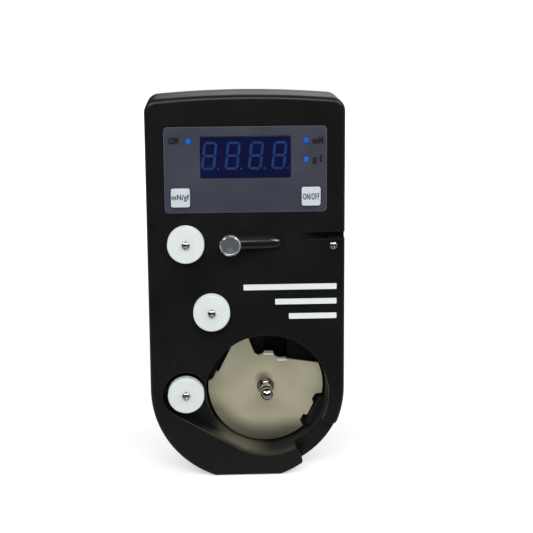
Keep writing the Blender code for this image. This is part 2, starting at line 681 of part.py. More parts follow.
def front_cover(finish):
    """The front shell: face, sides, bobbin case cup, pulley pockets, channel and bosses."""
    cover = front_form("front_cover", PARTING_DEPTH - FIT / 2)
    hollow = loft("hollow", [ring_at(housing_outline(WALL), WALL),
                             ring_at(housing_outline(WALL), PARTING_DEPTH + OVERRUN)])
    cut(cover, hollow)
    inside = WALL / 2
    cup_radius = CAVITY_RADIUS + RIB_WALL
    add(cover, disc("cup", CAVITY_X, CAVITY_Z, cup_radius, inside, CAVITY_FLOOR + RIB_WALL,
                    WIDE_SEGMENTS))
    add(cover, channel_solid("channel_wall", RIB_WALL, RIB_WALL, inside))
    add(cover, disc("pocket_wall", LOWER_X, LOWER_Z, LOWER_POCKET_RADIUS + RIB_WALL, inside,
                    LOWER_POCKET_DEPTH + RIB_WALL, ROUND_SEGMENTS))
    side_block = prism("side_block", sector(BODY_WIDTH, CUT_OUT_START - CUT_OUT_MARGIN,
                                            CUT_OUT_END + CUT_OUT_MARGIN),
                       inside, CUT_OUT_DEPTH + RIB_WALL)
    keep_common(side_block, prism("limit", housing_outline(WALL / 2), 0, PARTING_DEPTH))
    add(cover, side_block)
    slot_span = HALF_WIDTH - WALL / 2 - SLOT_START_X + RIB_WALL
    add(cover, block("slot_wall", SLOT_START_X - RIB_WALL + slot_span / 2, SLOT_Z, slot_span,
                     SLOT_HEIGHT + 2 * RIB_WALL, inside, SLOT_DEPTH + RIB_WALL))
    add(cover, block("well_wall", WELL_X, WELL_Z, WELL_WIDTH + 2 * RIB_WALL,
                     WELL_HEIGHT + 2 * RIB_WALL, CAVITY_FLOOR + inside,
                     CAVITY_FLOOR + WELL_DEPTH + RIB_WALL))
    add_bosses(cover)
    cut_cavity(cover)
    cut_panel_openings(cover)
    cut_pulley_seats(cover)
    cut_cutter_slot(cover)
    for _, x, z in SCREW_PLACES:
        cut(cover, disc("screw_hole", x, z, SCREW_RADIUS + FIT, screw_tip() - OVERRUN,
                        PARTING_DEPTH + OVERRUN, TINY_SEGMENTS))
    return dress(cover, finish)


def add_bosses(cover):
    """The posts inside the front shell that take screws and axles."""
    inside = WALL / 2
    for _, x, z in SCREW_PLACES:
        post = disc("boss", x, z, BOSS_RADIUS, inside, PARTING_DEPTH - FIT, SMALL_SEGMENTS)
        keep_common(post, prism("limit", housing_outline(WALL / 4), 0, PARTING_DEPTH + OVERRUN))
        add(cover, post)
    for x, z in board_screw_places():
        add(cover, disc("board_post", x, z, BOARD_POST_RADIUS, inside, BOARD_DEPTH - FIT,
                        TINY_SEGMENTS))
    for x, z in ((UPPER_X, UPPER_Z), (LOWER_X, LOWER_Z)):
        add(cover, disc("pulley_boss", x, z, PULLEY_BOSS_RADIUS, inside,
                        AXLE_DEPTH + PULLEY_BOSS_END, SMALL_SEGMENTS))
    pad_length = CELL_LENGTH * CELL_PAD_SHARE
    add(cover, block("cell_pad", SENSING_X, CELL_BOTTOM + CELL_LENGTH - pad_length / 2,
                     CELL_WIDTH + 2 * CELL_PAD_GROWTH, pad_length, inside,
                     CELL_DEPTH - FIT))
    add(cover, disc("arm_boss", ARM_ROOT_X, ARM_ROOT_Z, ARM_FOOT_RADIUS + RIB_WALL, inside,
                    ARM_FOOT_DEPTH + FIT + RIB_WALL, SMALL_SEGMENTS))
    add(cover, disc("cutter_boss", BLADE_X, CUTTER_SCREW_Z, CUTTER_SCREW_RADIUS + RIB_WALL,
                    inside, CUTTER_SCREW_LENGTH + RIB_WALL, TINY_SEGMENTS))


def cut_cavity(cover):
    """Cavity, plate seat, well, channel, lower pulley's pocket and finger cut-out."""
    ahead = -OVERRUN
    cut(cover, disc("cavity", CAVITY_X, CAVITY_Z, CAVITY_RADIUS, ahead, CAVITY_FLOOR,
                    WIDE_SEGMENTS))
    cut(cover, turned("cavity_chamfer", CAVITY_X, CAVITY_Z,
                      [(0, ahead), (CAVITY_RADIUS + EDGE_CHAMFER - ahead, ahead),
                       (CAVITY_RADIUS, EDGE_CHAMFER), (0, EDGE_CHAMFER)], WIDE_SEGMENTS))
    cut(cover, channel_solid("channel", 0, 0, ahead))
    cut(cover, disc("lower_pocket", LOWER_X, LOWER_Z, LOWER_POCKET_RADIUS, ahead,
                    LOWER_POCKET_DEPTH, ROUND_SEGMENTS))
    outline = sector(HALF_WIDTH, CUT_OUT_START, CUT_OUT_END)
    floor = [(x, world_y(cut_out_floor(x, z)), z) for x, z in outline]
    cut(cover, loft("finger_cut_out", [ring_at(outline, ahead), floor]))
    cut(cover, block("well", WELL_X, WELL_Z, WELL_WIDTH, WELL_HEIGHT, CAVITY_FLOOR - OVERRUN,
                     CAVITY_FLOOR + WELL_DEPTH))
    for angle, length in RETAINERS:
        add(cover, retainer(angle, length))
    cut(cover, disc("stud_hole", CAVITY_X, CAVITY_Z, STUD_RADIUS + FIT, CAVITY_FLOOR - OVERRUN,
                    CAVITY_FLOOR + RIB_WALL + OVERRUN, SMALL_SEGMENTS))


def cut_panel_openings(cover):
    """The panel's recess and the openings for display, lamps, keys and board screws."""
    floor = PANEL_SINK + PANEL_THICKNESS + FIT
    behind = WALL + OVERRUN
    cut(cover, prism("panel_recess", rounded_rectangle(
        PANEL_X, PANEL_Z, PANEL_WIDTH + 2 * LINE_FIT, PANEL_HEIGHT + 2 * LINE_FIT,
        PANEL_CORNER + LINE_FIT), -OVERRUN, floor))
    module_gap = 2 * (MODULE_MARGIN + FIT)
    cut(cover, block("display_opening", WINDOW_X, WINDOW_Z, WINDOW_WIDTH + module_gap,
                     WINDOW_HEIGHT + module_gap, -OVERRUN, behind))
    for _, x, z in LAMP_PLACES:
        cut(cover, disc("lamp_hole", x, z, LAMP_RADIUS + FIT, -OVERRUN, behind,
                        TINY_SEGMENTS))
    for _, x, z in KEY_PLACES:
        cut(cover, block("key_hole", x, z, KEY_HOLE, KEY_HOLE, -OVERRUN, behind))
    for x, z in board_screw_places():
        cut(cover, disc("board_screw_hole", x, z, SMALL_SCREW_RADIUS + FIT,
                        BOARD_BACK - SMALL_SCREW_LENGTH - FIT, BOARD_DEPTH, TINY_SEGMENTS))


def cut_pulley_seats(cover):
    """Shallow pockets under the upper two pulleys and the axles' holes."""
    seat = PULLEY_WIDTH - PULLEY_HEIGHT + FIT
    for x, z in ((UPPER_X, UPPER_Z), (SENSING_X, SENSING_Z)):
        cut(cover, disc("pulley_pocket", x, z, PULLEY_RADIUS + PULLEY_CLEARANCE, -OVERRUN, seat,
                        ROUND_SEGMENTS))
    for x, z in ((UPPER_X, UPPER_Z), (LOWER_X, LOWER_Z)):
        cut(cover, disc("axle_hole", x, z, AXLE_RADIUS + FIT, -OVERRUN, AXLE_DEPTH + FIT,
                        TINY_SEGMENTS))
    lower_back = PULLEY_WIDTH - LOWER_PULLEY_HEIGHT
    add(cover, ring_body("pulley_seat", LOWER_X, LOWER_Z, [
        (PULLEY_SEAT_RADIUS, lower_back + FIT), (AXLE_RADIUS + FIT, lower_back + FIT),
        (AXLE_RADIUS + FIT, LOWER_POCKET_DEPTH + OVERRUN),
        (PULLEY_SEAT_RADIUS, LOWER_POCKET_DEPTH + OVERRUN)], TINY_SEGMENTS))
    cut(cover, disc("sensing_hole", SENSING_X, SENSING_Z, AXLE_RADIUS + SENSING_PLAY, -OVERRUN,
                    WALL + OVERRUN))
    cut(cover, disc("arm_hole", ARM_ROOT_X, ARM_ROOT_Z, ARM_FOOT_RADIUS + FIT, -OVERRUN,
                    ARM_FOOT_DEPTH + FIT))
    for share in CELL_SCREW_SHARES:
        cut(cover, disc("cell_screw_hole", SENSING_X, CELL_BOTTOM + CELL_LENGTH * share,
                        CELL_SCREW_RADIUS + FIT, WALL, CELL_DEPTH, TINY_SEGMENTS))


def cut_cutter_slot(cover):
    """The thread slot at the right edge, the blade's seat and its screw hole."""
    cut(cover, slot_ramp("slot"))
    seat_back = WALL + FIT + BLADE_THICKNESS + FIT
    cut(cover, block("blade_seat", BLADE_X, SLOT_Z - BLADE_HEIGHT / 4,
                     BLADE_WIDTH + 2 * FIT, BLADE_HEIGHT + 2 * FIT, WALL, seat_back))
    cut(cover, disc("cutter_screw_hole", BLADE_X, CUTTER_SCREW_Z, CUTTER_SCREW_RADIUS + FIT,
                    -OVERRUN, CUTTER_SCREW_LENGTH + FIT, TINY_SEGMENTS))


def rear_cover(finish):
    """The rear shell with its battery bay, door rails and screw wells."""
    cover = rear_form("rear_cover", PARTING_DEPTH + FIT / 2)
    hollow = loft("hollow", [ring_at(housing_outline(WALL), PARTING_DEPTH - OVERRUN),
                             ring_at(housing_outline(WALL), BODY_DEPTH - REAR_WALL)])
    cut(cover, hollow)
    inside = BODY_DEPTH - REAR_WALL / 2
    for _, x, z in SCREW_PLACES:
        post = disc("boss", x, z, SCREW_HEAD_RADIUS + FIT + RIB_WALL, PARTING_DEPTH + FIT / 2,
                    inside, SMALL_SEGMENTS)
        keep_common(post, prism("limit", housing_outline(WALL / 4), 0, BODY_DEPTH))
        add(cover, post)
    bay_outer_width = BAY_WIDTH + 2 * BAY_RIM
    bay_outer_height = BAY_HEIGHT + 2 * BAY_WALL
    add(cover, block("bay_wall", 0, BAY_CENTRE_Z, bay_outer_width, bay_outer_height,
                     BAY_DEPTH - BAY_WALL, inside))
    bay_top = BAY_CENTRE_Z + bay_outer_height / 2
    shelf_height = BODY_HEIGHT - WALL - bay_top
    shelf = block("shelf", 0, bay_top + shelf_height / 2, bay_outer_width, shelf_height + WALL,
                  RECESS_DEPTH - SHELF_THICKNESS, inside)
    keep_common(shelf, prism("limit", housing_outline(WALL / 2), 0, BODY_DEPTH))
    add(cover, shelf)
    cut(cover, block("bay", 0, BAY_CENTRE_Z, BAY_WIDTH, BAY_HEIGHT, BAY_DEPTH,
                     BODY_DEPTH + OVERRUN))
    top = BODY_HEIGHT + OVERRUN
    low = DOOR_BOTTOM - FIT
    recess_width = DOOR_WIDTH + 2 * FIT
    cut(cover, block("door_recess", 0, (low + top) / 2, recess_width, top - low, RECESS_DEPTH,
                     BODY_DEPTH + OVERRUN))
    cut(cover, block("tongue_groove", 0, (low + top) / 2, recess_width + 2 * DOOR_TONGUE,
                     top - low, RECESS_DEPTH, RECESS_DEPTH + DOOR_TONGUE_THICKNESS + 2 * FIT))
    for _, x, z in SCREW_PLACES:
        seat = screw_seat() - FIT / 2
        cut(cover, turned("screw_well", x, z, [
            (SCREW_RADIUS + FIT, PARTING_DEPTH - OVERRUN), (SCREW_RADIUS + FIT, seat),
            (SCREW_HEAD_RADIUS + FIT, seat), (SCREW_HEAD_RADIUS + FIT, BODY_DEPTH + OVERRUN)],
            SMALL_SEGMENTS))
    return dress(cover, finish)


def screw_seat():
    """Depth of the underside of a housing screw's head."""
    return BODY_DEPTH - SCREW_SINK - SCREW_HEAD_HEIGHT


def screw_tip():
    """Depth of a housing screw's point."""
    return screw_seat() - SCREW_LENGTH


def battery_door(finish):
    """The sliding door, flush with the rear and with the crowned top, with side tongues."""
    top = BODY_HEIGHT + OVERRUN
    front = RECESS_DEPTH + FIT
    door = block("battery_door", 0, (DOOR_BOTTOM + top) / 2, DOOR_WIDTH, top - DOOR_BOTTOM,
                 front, BODY_DEPTH + OVERRUN)
    add(door, block("tongues", 0, (DOOR_BOTTOM + top) / 2, DOOR_WIDTH + 2 * DOOR_TONGUE,
                    top - DOOR_BOTTOM, front, front + DOOR_TONGUE_THICKNESS))
    keep_common(door, rear_form("limit", PARTING_DEPTH))
    for k in range(DOOR_GRIP_COUNT):
        cut(door, block("grip", 0, DOOR_BOTTOM + (k + 2) * DOOR_GRIP_PITCH, DOOR_GRIP_WIDTH,
                        DOOR_GRIP_HEIGHT, BODY_DEPTH - DOOR_GRIP_DEPTH, BODY_DEPTH + OVERRUN))
    return dress(door, finish, 0, DOOR_BOTTOM, front)


def front_panel(finish):
    """The printed panel with its openings for window, lamps and keys."""
    back = PANEL_SINK + PANEL_THICKNESS
    panel = prism("front_panel", rounded_rectangle(PANEL_X, PANEL_Z, PANEL_WIDTH, PANEL_HEIGHT,
                                                   PANEL_CORNER), PANEL_SINK, back)
    cut(panel, block("window_hole", WINDOW_X, WINDOW_Z, WINDOW_WIDTH + 2 * LINE_FIT,
                     WINDOW_HEIGHT + 2 * LINE_FIT, -OVERRUN, back + OVERRUN))
    for _, x, z in LAMP_PLACES:
        cut(panel, disc("lamp_hole", x, z, LAMP_RADIUS + LINE_FIT, -OVERRUN, back + OVERRUN,
                        TINY_SEGMENTS))
    for _, x, z in KEY_PLACES:
        cut(panel, block("key_hole", x, z, KEY_HOLE, KEY_HOLE, -OVERRUN, back + OVERRUN))
    return dress(panel, finish)


def display(looks):
    """The tinted pane and the four-digit module behind it."""
    pane_back = PANEL_SINK + WINDOW_THICKNESS
    pane = block("display_window", WINDOW_X, WINDOW_Z, WINDOW_WIDTH, WINDOW_HEIGHT, PANEL_SINK,
                 pane_back)
    dress(pane, looks["window"])
    front = pane_back + FIT
    module = block("display_module", WINDOW_X, WINDOW_Z, WINDOW_WIDTH + 2 * MODULE_MARGIN,
                   WINDOW_HEIGHT + 2 * MODULE_MARGIN, front, front + MODULE_THICKNESS)
    dress(module, looks["module"])


def lamps(finish):
    """Three indicator lamps that reach from the board to the panel."""
    shoulder = WALL + FIT
    for name, x, z in LAMP_PLACES:
        lamp = turned(name, x, z, [(LAMP_RADIUS, PANEL_SINK), (LAMP_RADIUS, shoulder),
                                   (LAMP_BODY_RADIUS, shoulder),
                                   (LAMP_BODY_RADIUS, BOARD_DEPTH - FIT)], TINY_SEGMENTS)
        dress(lamp, finish)


def keys(looks):
    """Two key caps, each over a push switch with its own plunger."""
    flange_front = WALL + FIT
    flange_back = flange_front + KEY_FLANGE_THICKNESS
    for name, x, z in KEY_PLACES:
        cap = prism(name + "_key", rounded_rectangle(x, z, KEY_WIDTH, KEY_WIDTH, KEY_CORNER),
                    -KEY_HEIGHT, flange_back)
        add(cap, block("flange", x, z, KEY_WIDTH + 2 * KEY_FLANGE, KEY_WIDTH + 2 * KEY_FLANGE,
                       flange_front, flange_back))
        dress(cap, looks["key"], x, z, -KEY_HEIGHT)
        plunger_front = flange_back + FIT
        switch_back = BOARD_DEPTH - FIT
        room = switch_back - plunger_front
        plunger_back = plunger_front + room * PLUNGER_SHARE
        switch_front = plunger_front + KEY_TRAVEL + FIT
        plunger = disc(name + "_plunger", x, z, PLUNGER_RADIUS, plunger_front, plunger_back,
                       TINY_SEGMENTS)
        dress(plunger, looks["chip"], x, z, plunger_front)
        switch = block(name + "_switch", x, z, SWITCH_WIDTH, SWITCH_WIDTH, switch_front,
                       switch_back)
        cut(switch, disc("bore", x, z, PLUNGER_RADIUS + FIT, switch_front - OVERRUN,
                         plunger_back + KEY_TRAVEL + FIT, TINY_SEGMENTS))
        dress(switch, looks["module"])


def board(looks):
    """The circuit board, its controller chip and its four screws."""
    back = BOARD_BACK
    middle = (BOARD_BOTTOM + BOARD_TOP) / 2
    plate = prism("main_board", rounded_rectangle(0, middle, BOARD_WIDTH,
                                                  BOARD_TOP - BOARD_BOTTOM, BOARD_CORNER),
                  BOARD_DEPTH, back)
    for x, z in board_screw_places():
        cut(plate, disc("hole", x, z, SMALL_SCREW_RADIUS + FIT, BOARD_DEPTH - OVERRUN,
                        back + OVERRUN, TINY_SEGMENTS))
    dress(plate, looks["board"])
    chip_x = BOARD_WIDTH / 2 * CHIP_SHARE
    dress(block("controller_chip", chip_x, middle, CHIP_WIDTH, CHIP_WIDTH, back + FIT,
                back + FIT + CHIP_THICKNESS), looks["chip"])
    for k, (x, z) in enumerate(board_screw_places()):
        head = back + FIT
        screw = turned("board_screw_%d" % (k + 1), x, z,
                       [(SMALL_SCREW_RADIUS, back - SMALL_SCREW_LENGTH),
                        (SMALL_SCREW_RADIUS, head), (SMALL_HEAD_RADIUS, head),
                        (SMALL_HEAD_RADIUS, head + SMALL_HEAD_HEIGHT)], TINY_SEGMENTS)
        dress(screw, looks["steel"])


def pulley(name, x, z, height, finish):
    """A grooved pulley whose front stands at a height over the face."""
    front, back = -height, PULLEY_WIDTH - height
    inner_front, inner_back = front + PULLEY_FLANGE, back - PULLEY_FLANGE
    edge = PULLEY_RADIUS - PULLEY_CHAMFER
    floor = PULLEY_RADIUS - GROOVE_DEPTH
    slope = (inner_back - inner_front) / 3
    profile = [
        (AXLE_RADIUS + FIT, front), (edge, front), (PULLEY_RADIUS, front + PULLEY_CHAMFER),
        (PULLEY_RADIUS, inner_front), (floor, inner_front + slope),
        (floor, inner_back - slope), (PULLEY_RADIUS, inner_back),
        (PULLEY_RADIUS, back - PULLEY_CHAMFER), (edge, back), (AXLE_RADIUS + FIT, back),
    ]
    return dress(ring_body(name, x, z, profile, ROUND_SEGMENTS), finish, x, z, front)


def axle(name, x, z, height, end, finish):
    """A pulley's axle screw with a domed head."""
    seat = -height - FIT
    dome = [(AXLE_HEAD_RADIUS * math.cos(math.radians(a)),
             seat - AXLE_HEAD_HEIGHT * math.sin(math.radians(a))) for a in DOME_ANGLES]
    profile = [(0, seat - AXLE_HEAD_HEIGHT)] + dome + [(AXLE_RADIUS, seat), (AXLE_RADIUS, end)]
    return dress(turned(name, x, z, profile, TINY_SEGMENTS), finish)


def pulleys(looks):
    """The three pulleys with their axles."""
    sensing_end = CELL_DEPTH + CELL_THICKNESS - FIT
    for name, x, z, height, end in (
            ("upper", UPPER_X, UPPER_Z, PULLEY_HEIGHT, AXLE_DEPTH),
            ("sensing", SENSING_X, SENSING_Z, PULLEY_HEIGHT, sensing_end),
            ("lower", LOWER_X, LOWER_Z, LOWER_PULLEY_HEIGHT, AXLE_DEPTH)):
        pulley(name + "_pulley", x, z, height, looks["pulley"])
        axle(name + "_axle", x, z, height, end, looks["steel"])


def load_cell(looks):
    """The beam that the sensing axle bends, and its two screws."""
    back = CELL_DEPTH + CELL_THICKNESS
    beam = block("load_cell", SENSING_X, CELL_BOTTOM + CELL_LENGTH / 2, CELL_WIDTH, CELL_LENGTH,
                 CELL_DEPTH, back)
    cut(beam, disc("axle_hole", SENSING_X, SENSING_Z, AXLE_RADIUS + FIT,
                   CELL_DEPTH - OVERRUN, back + OVERRUN, TINY_SEGMENTS))
    eyes = [CELL_BOTTOM + CELL_LENGTH * share for share in CELL_EYE_SHARES]
    for z in eyes:
        cut(beam, disc("eye", SENSING_X, z, CELL_EYE_RADIUS, CELL_DEPTH - OVERRUN,
                       back + OVERRUN))
    cut(beam, block("slit", SENSING_X, sum(eyes) / 2, CELL_SLIT, eyes[1] - eyes[0],
                    CELL_DEPTH - OVERRUN, back + OVERRUN))
    for k, share in enumerate(CELL_SCREW_SHARES):
        z = CELL_BOTTOM + CELL_LENGTH * share
        cut(beam, disc("screw_hole", SENSING_X, z, CELL_SCREW_RADIUS + FIT,
                       CELL_DEPTH - OVERRUN, back + OVERRUN, TINY_SEGMENTS))
        head = back + FIT
        screw = turned("load_cell_screw_%d" % (k + 1), SENSING_X, z,
                       [(CELL_SCREW_RADIUS, WALL + FIT), (CELL_SCREW_RADIUS, head),
                        (CELL_SCREW_HEAD, head),
                        (CELL_SCREW_HEAD, head + CELL_SCREW_HEAD_HEIGHT)], TINY_SEGMENTS)
        dress(screw, looks["steel"])
    dress(beam, looks["alloy"])


def plate_outline():
    """The round plate: three arcs of its rim, joined by the right cut, the wide cut-out at
    the top and the left cut."""
    cuts = (TOP_CUT_SHARES, LEFT_CUT_SHARES, RIGHT_CUT_SHARES)
    points = []
    for (start, end), shares in zip(RIM_ANGLES, cuts):
        steps = math.ceil((end - start) / RIM_STEP)
        points += arc_points(CAVITY_X, CAVITY_Z, PLATE_RADIUS, math.radians(start),
                             math.radians(end), steps)
        points += [(CAVITY_X + PLATE_RADIUS * across, CAVITY_Z + PLATE_RADIUS * up)
                   for across, up in shares]
    return points


def bobbin_plate(looks):
    """The steel plate with its two small bent lugs at the top cut-out."""
    back = PLATE_DEPTH + PLATE_THICKNESS
    plate = prism("bobbin_case_plate", plate_outline(), PLATE_DEPTH, back)
    for across, up in LUG_SHARES:
        add(plate, block("lug", CAVITY_X + PLATE_RADIUS * across, CAVITY_Z + PLATE_RADIUS * up,
                         LUG_WIDTH, LUG_THICKNESS, PLATE_DEPTH - LUG_HEIGHT,
                         PLATE_DEPTH + PLATE_THICKNESS / 2))
    cut(plate, disc("stud_hole", CAVITY_X, CAVITY_Z, STUD_RADIUS + FIT, PLATE_DEPTH - OVERRUN,
                    back + OVERRUN, SMALL_SEGMENTS))
    dress(plate, looks["plate"])


def spindle(looks):
    """The ball-ended spindle with its collar and stud, and the nut behind the cup."""
    collar_back = PLATE_DEPTH - FIT
    collar_front = collar_back - COLLAR_HEIGHT
    nut_front = CAVITY_FLOOR + RIB_WALL + FIT
    ball = [(0, BALL_DEPTH - BALL_RADIUS)]
    for angle in BALL_ANGLES:
        turn = math.radians(angle)
        ball.append((BALL_RADIUS * math.cos(turn), BALL_DEPTH - BALL_RADIUS * math.sin(turn)))
    neck_front = BALL_DEPTH + math.sqrt(BALL_RADIUS ** 2 - NECK_RADIUS ** 2)
    neck_back = neck_front + NECK_RADIUS / 2
    profile = ball + [
        (NECK_RADIUS, neck_front), (NECK_RADIUS, neck_back),
        (SHAFT_RADIUS, neck_back + SHAFT_RADIUS - NECK_RADIUS), (SHAFT_RADIUS, collar_front),
        (COLLAR_RADIUS, collar_front), (COLLAR_RADIUS, collar_back), (STUD_RADIUS, collar_back),
        (STUD_RADIUS, nut_front + NUT_THICKNESS + STUD_PAST_NUT),
    ]
    dress(turned("spindle", CAVITY_X, CAVITY_Z, profile, SMALL_SEGMENTS), looks["steel"])
    nut = prism("spindle_nut", circle(CAVITY_X, CAVITY_Z, NUT_WIDTH / math.sqrt(3), 6), nut_front,
                nut_front + NUT_THICKNESS)
    cut(nut, disc("thread", CAVITY_X, CAVITY_Z, STUD_RADIUS + FIT, nut_front - OVERRUN,
                  nut_front + NUT_THICKNESS + OVERRUN, TINY_SEGMENTS))
    dress(nut, looks["steel"])


def guide_arm(looks):
    """The tapered arm that rises from the face towards the left, and the turned cap on it."""
    cap_back = CAP_THICKNESS - CAP_HEIGHT
    tip_depth = cap_back + FIT + ARM_TIP_RADIUS
    root = (ARM_ROOT_X, ARM_ROOT_DEPTH, ARM_ROOT_Z)
    tip = (CAP_X, tip_depth, CAP_Z)
    run_x, run_depth, run_z = (b - a for a, b in zip(root, tip))
    run = math.sqrt(run_x ** 2 + run_depth ** 2 + run_z ** 2)
    back_x, back_depth = -run_depth / run, run_x / run
    rings = []
    for share, girth in ARM_GIRTH_SHARES:
        reach = min(max(share, 0), 1)
        radius = girth * (ARM_ROOT_RADIUS + (ARM_TIP_RADIUS - ARM_ROOT_RADIUS) * reach)
        x, depth, z = (a + share * r for a, r in zip(root, (run_x, run_depth, run_z)))
        ring = []
        for k in range(SMALL_SEGMENTS):
            turn = math.tau * k / SMALL_SEGMENTS
            side = radius * math.cos(turn)
            rise = radius * math.sin(turn)
            ring.append((x + side * back_x, world_y(depth + side * back_depth), z + rise))
        rings.append(ring)
    arm = loft("thread_guide_arm", rings)
    cut(arm, block("face_limit", ARM_ROOT_X, ARM_ROOT_Z, BODY_WIDTH, BODY_WIDTH, -FIT,
                   BODY_DEPTH))
    add(arm, disc("foot", ARM_ROOT_X, ARM_ROOT_Z, ARM_FOOT_RADIUS, -ARM_FOOT_RADIUS / 2,
                  ARM_FOOT_DEPTH, SMALL_SEGMENTS))
    cut(arm, disc("stem_hole", CAP_X, CAP_Z, CAP_STEM_RADIUS + FIT, -CAP_HEIGHT,
                  cap_back + CAP_STEM_LENGTH + FIT, TINY_SEGMENTS))
    dress(arm, looks["shell"])
    cap = turned("thread_guide_cap", CAP_X, CAP_Z, [
        (CAP_RADIUS - CAP_CHAMFER, -CAP_HEIGHT), (CAP_RADIUS, CAP_CHAMFER - CAP_HEIGHT),
        (CAP_RADIUS, cap_back), (CAP_STEM_RADIUS, cap_back),
        (CAP_STEM_RADIUS, cap_back + CAP_STEM_LENGTH)], ROUND_SEGMENTS)
    dress(cap, looks["alloy"])


def cutter(looks):
    """The blade behind the slot and the screw that holds it."""
    front = WALL + FIT
    low = SLOT_Z - BLADE_HEIGHT * 3 / 4
    left, right = BLADE_X - BLADE_WIDTH / 2, BLADE_X + BLADE_WIDTH / 2
    high = low + BLADE_HEIGHT
    points = [(left, low), (right, low), (right, high), (right - BLADE_NOSE, high),
              (left, SLOT_Z - SLOT_HEIGHT)]
    blade = prism("cutter_blade", points, front, front + BLADE_THICKNESS)
    cut(blade, disc("hole", BLADE_X, CUTTER_SCREW_Z, CUTTER_SCREW_RADIUS + FIT, 0,
                    front + BLADE_THICKNESS + OVERRUN, TINY_SEGMENTS))
    dress(blade, looks["steel"])
    seat = -FIT
    dome = [(CUTTER_HEAD_RADIUS * math.cos(math.radians(a)),
             seat - CUTTER_HEAD_HEIGHT * math.sin(math.radians(a))) for a in DOME_ANGLES]
    profile = [(0, seat - CUTTER_HEAD_HEIGHT)] + dome
    profile += [(CUTTER_SCREW_RADIUS, seat), (CUTTER_SCREW_RADIUS, CUTTER_SCREW_LENGTH)]
    dress(turned("cutter_screw", BLADE_X, CUTTER_SCREW_Z, profile, TINY_SEGMENTS),
          looks["steel"])


def housing_screws(finish):
    """The four screws that close the housing."""
    for name, x, z in SCREW_PLACES:
        seat = screw_seat() + FIT / 2
        screw = turned(name, x, z, [
            (SCREW_RADIUS, screw_tip()), (SCREW_RADIUS, seat), (SCREW_HEAD_RADIUS, seat),
            (SCREW_HEAD_RADIUS, seat + SCREW_HEAD_HEIGHT)], SMALL_SEGMENTS)
        dress(screw, finish)


def battery_start(side):
    """Where a cell's flat end lies along X, when its button touches the contact at side."""
    reach = BAY_WIDTH / 2 - CONTACT_THICKNESS - 2 * FIT
    return side * (reach - BUTTON_LENGTH - BATTERY_LENGTH)


def lying_cell(name, z, side, finish):
    """One battery along X; side is +1 where its button points right."""
    depth = BAY_DEPTH + FIT + BATTERY_DIAMETER / 2
    tip = side * (BAY_WIDTH / 2 - CONTACT_THICKNESS - 2 * FIT)
    shoulder = tip - side * BUTTON_LENGTH
    start = battery_start(side)
    profile = [(0, start), (BATTERY_DIAMETER / 2, start), (BATTERY_DIAMETER / 2, shoulder),
               (BUTTON_RADIUS, shoulder), (BUTTON_RADIUS, tip), (0, tip)]
    maker = bmesh.new()
    rows = []
    for radius, x in profile:
        ring = [maker.verts.new((x, world_y(depth) + radius * math.cos(math.tau * k / SMALL_SEGMENTS),
                                 z + radius * math.sin(math.tau * k / SMALL_SEGMENTS)))
                for k in range(SMALL_SEGMENTS if radius else 1)]
        rows.append(ring)
    for near, far in zip(rows, rows[1:]):
        for k in range(SMALL_SEGMENTS):
            after = (k + 1) % SMALL_SEGMENTS
            corners = [near[k % len(near)], near[after % len(near)],
                       far[after % len(far)], far[k % len(far)]]
            maker.faces.new(list(dict.fromkeys(corners)))
    return dress(finish_mesh(name, maker), finish)


def coil_spring(name, x, z, depth, length, finish):
    """A short contact spring along X, its turns in one unbroken tube."""
    path = bpy.data.curves.new(name, "CURVE")
    path.dimensions = "3D"
    path.bevel_depth = SPRING_WIRE
    path.bevel_resolution = 1
    path.use_fill_caps = True
    spline = path.splines.new("POLY")
    steps = SPRING_POINTS * SPRING_TURNS
    spline.points.add(steps)
    for k in range(steps + 1):
        turn = math.tau * k / SPRING_POINTS
        spline.points[k].co = (x + length * k / steps,
                               world_y(depth) + SPRING_RADIUS * math.cos(turn),
                               z + SPRING_RADIUS * math.sin(turn), 1)
    wire = bpy.data.objects.new(name, path)
    bpy.context.scene.collection.objects.link(wire)
    path.materials.append(finish)
    return wire


def batteries(looks):
    """Two cells side by side, with a contact and a spring for each."""
    depth = BAY_DEPTH + FIT + BATTERY_DIAMETER / 2
    wall = BAY_WIDTH / 2 - FIT
    for k, (rise, side) in enumerate(((1, 1), (-1, -1))):
        z = BAY_CENTRE_Z + rise * BATTERY_PITCH / 2
        lying_cell("battery_%d" % (k + 1), z, side, looks["jacket"])
        contact_x = side * (wall - CONTACT_THICKNESS / 2)
        dress(block("flat_contact_%d" % (k + 1), contact_x, z, CONTACT_THICKNESS,
                    CONTACT_HEIGHT, depth - CONTACT_HEIGHT / 2, depth + CONTACT_HEIGHT / 2),
              looks["contact"])
        spring_x = -side * (wall - SPRING_WIRE)
        reach = battery_start(side) - side * (FIT + SPRING_WIRE) - spring_x
        coil_spring("spring_contact_%d" % (k + 1), spring_x, z, depth, reach,
                    looks["contact"])


def build():
    """The whole gauge."""
    for old in list(bpy.data.objects):
        bpy.data.objects.remove(old)
    looks = finishes()
    front_cover(looks["shell"])
    rear_cover(looks["shell"])
    battery_door(looks["shell"])
    front_panel(looks["panel"])
    display(looks)
    lamps(looks["lamp"])
    keys(looks)
    board(looks)
    pulleys(looks)
    load_cell(looks)
    bobbin_plate(looks)
    spindle(looks)
    guide_arm(looks)
    cutter(looks)
    housing_screws(looks["steel"])
    batteries(looks)


build()
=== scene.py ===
import math

import bmesh
import bpy
import numpy as np
from mathutils import Matrix, Vector


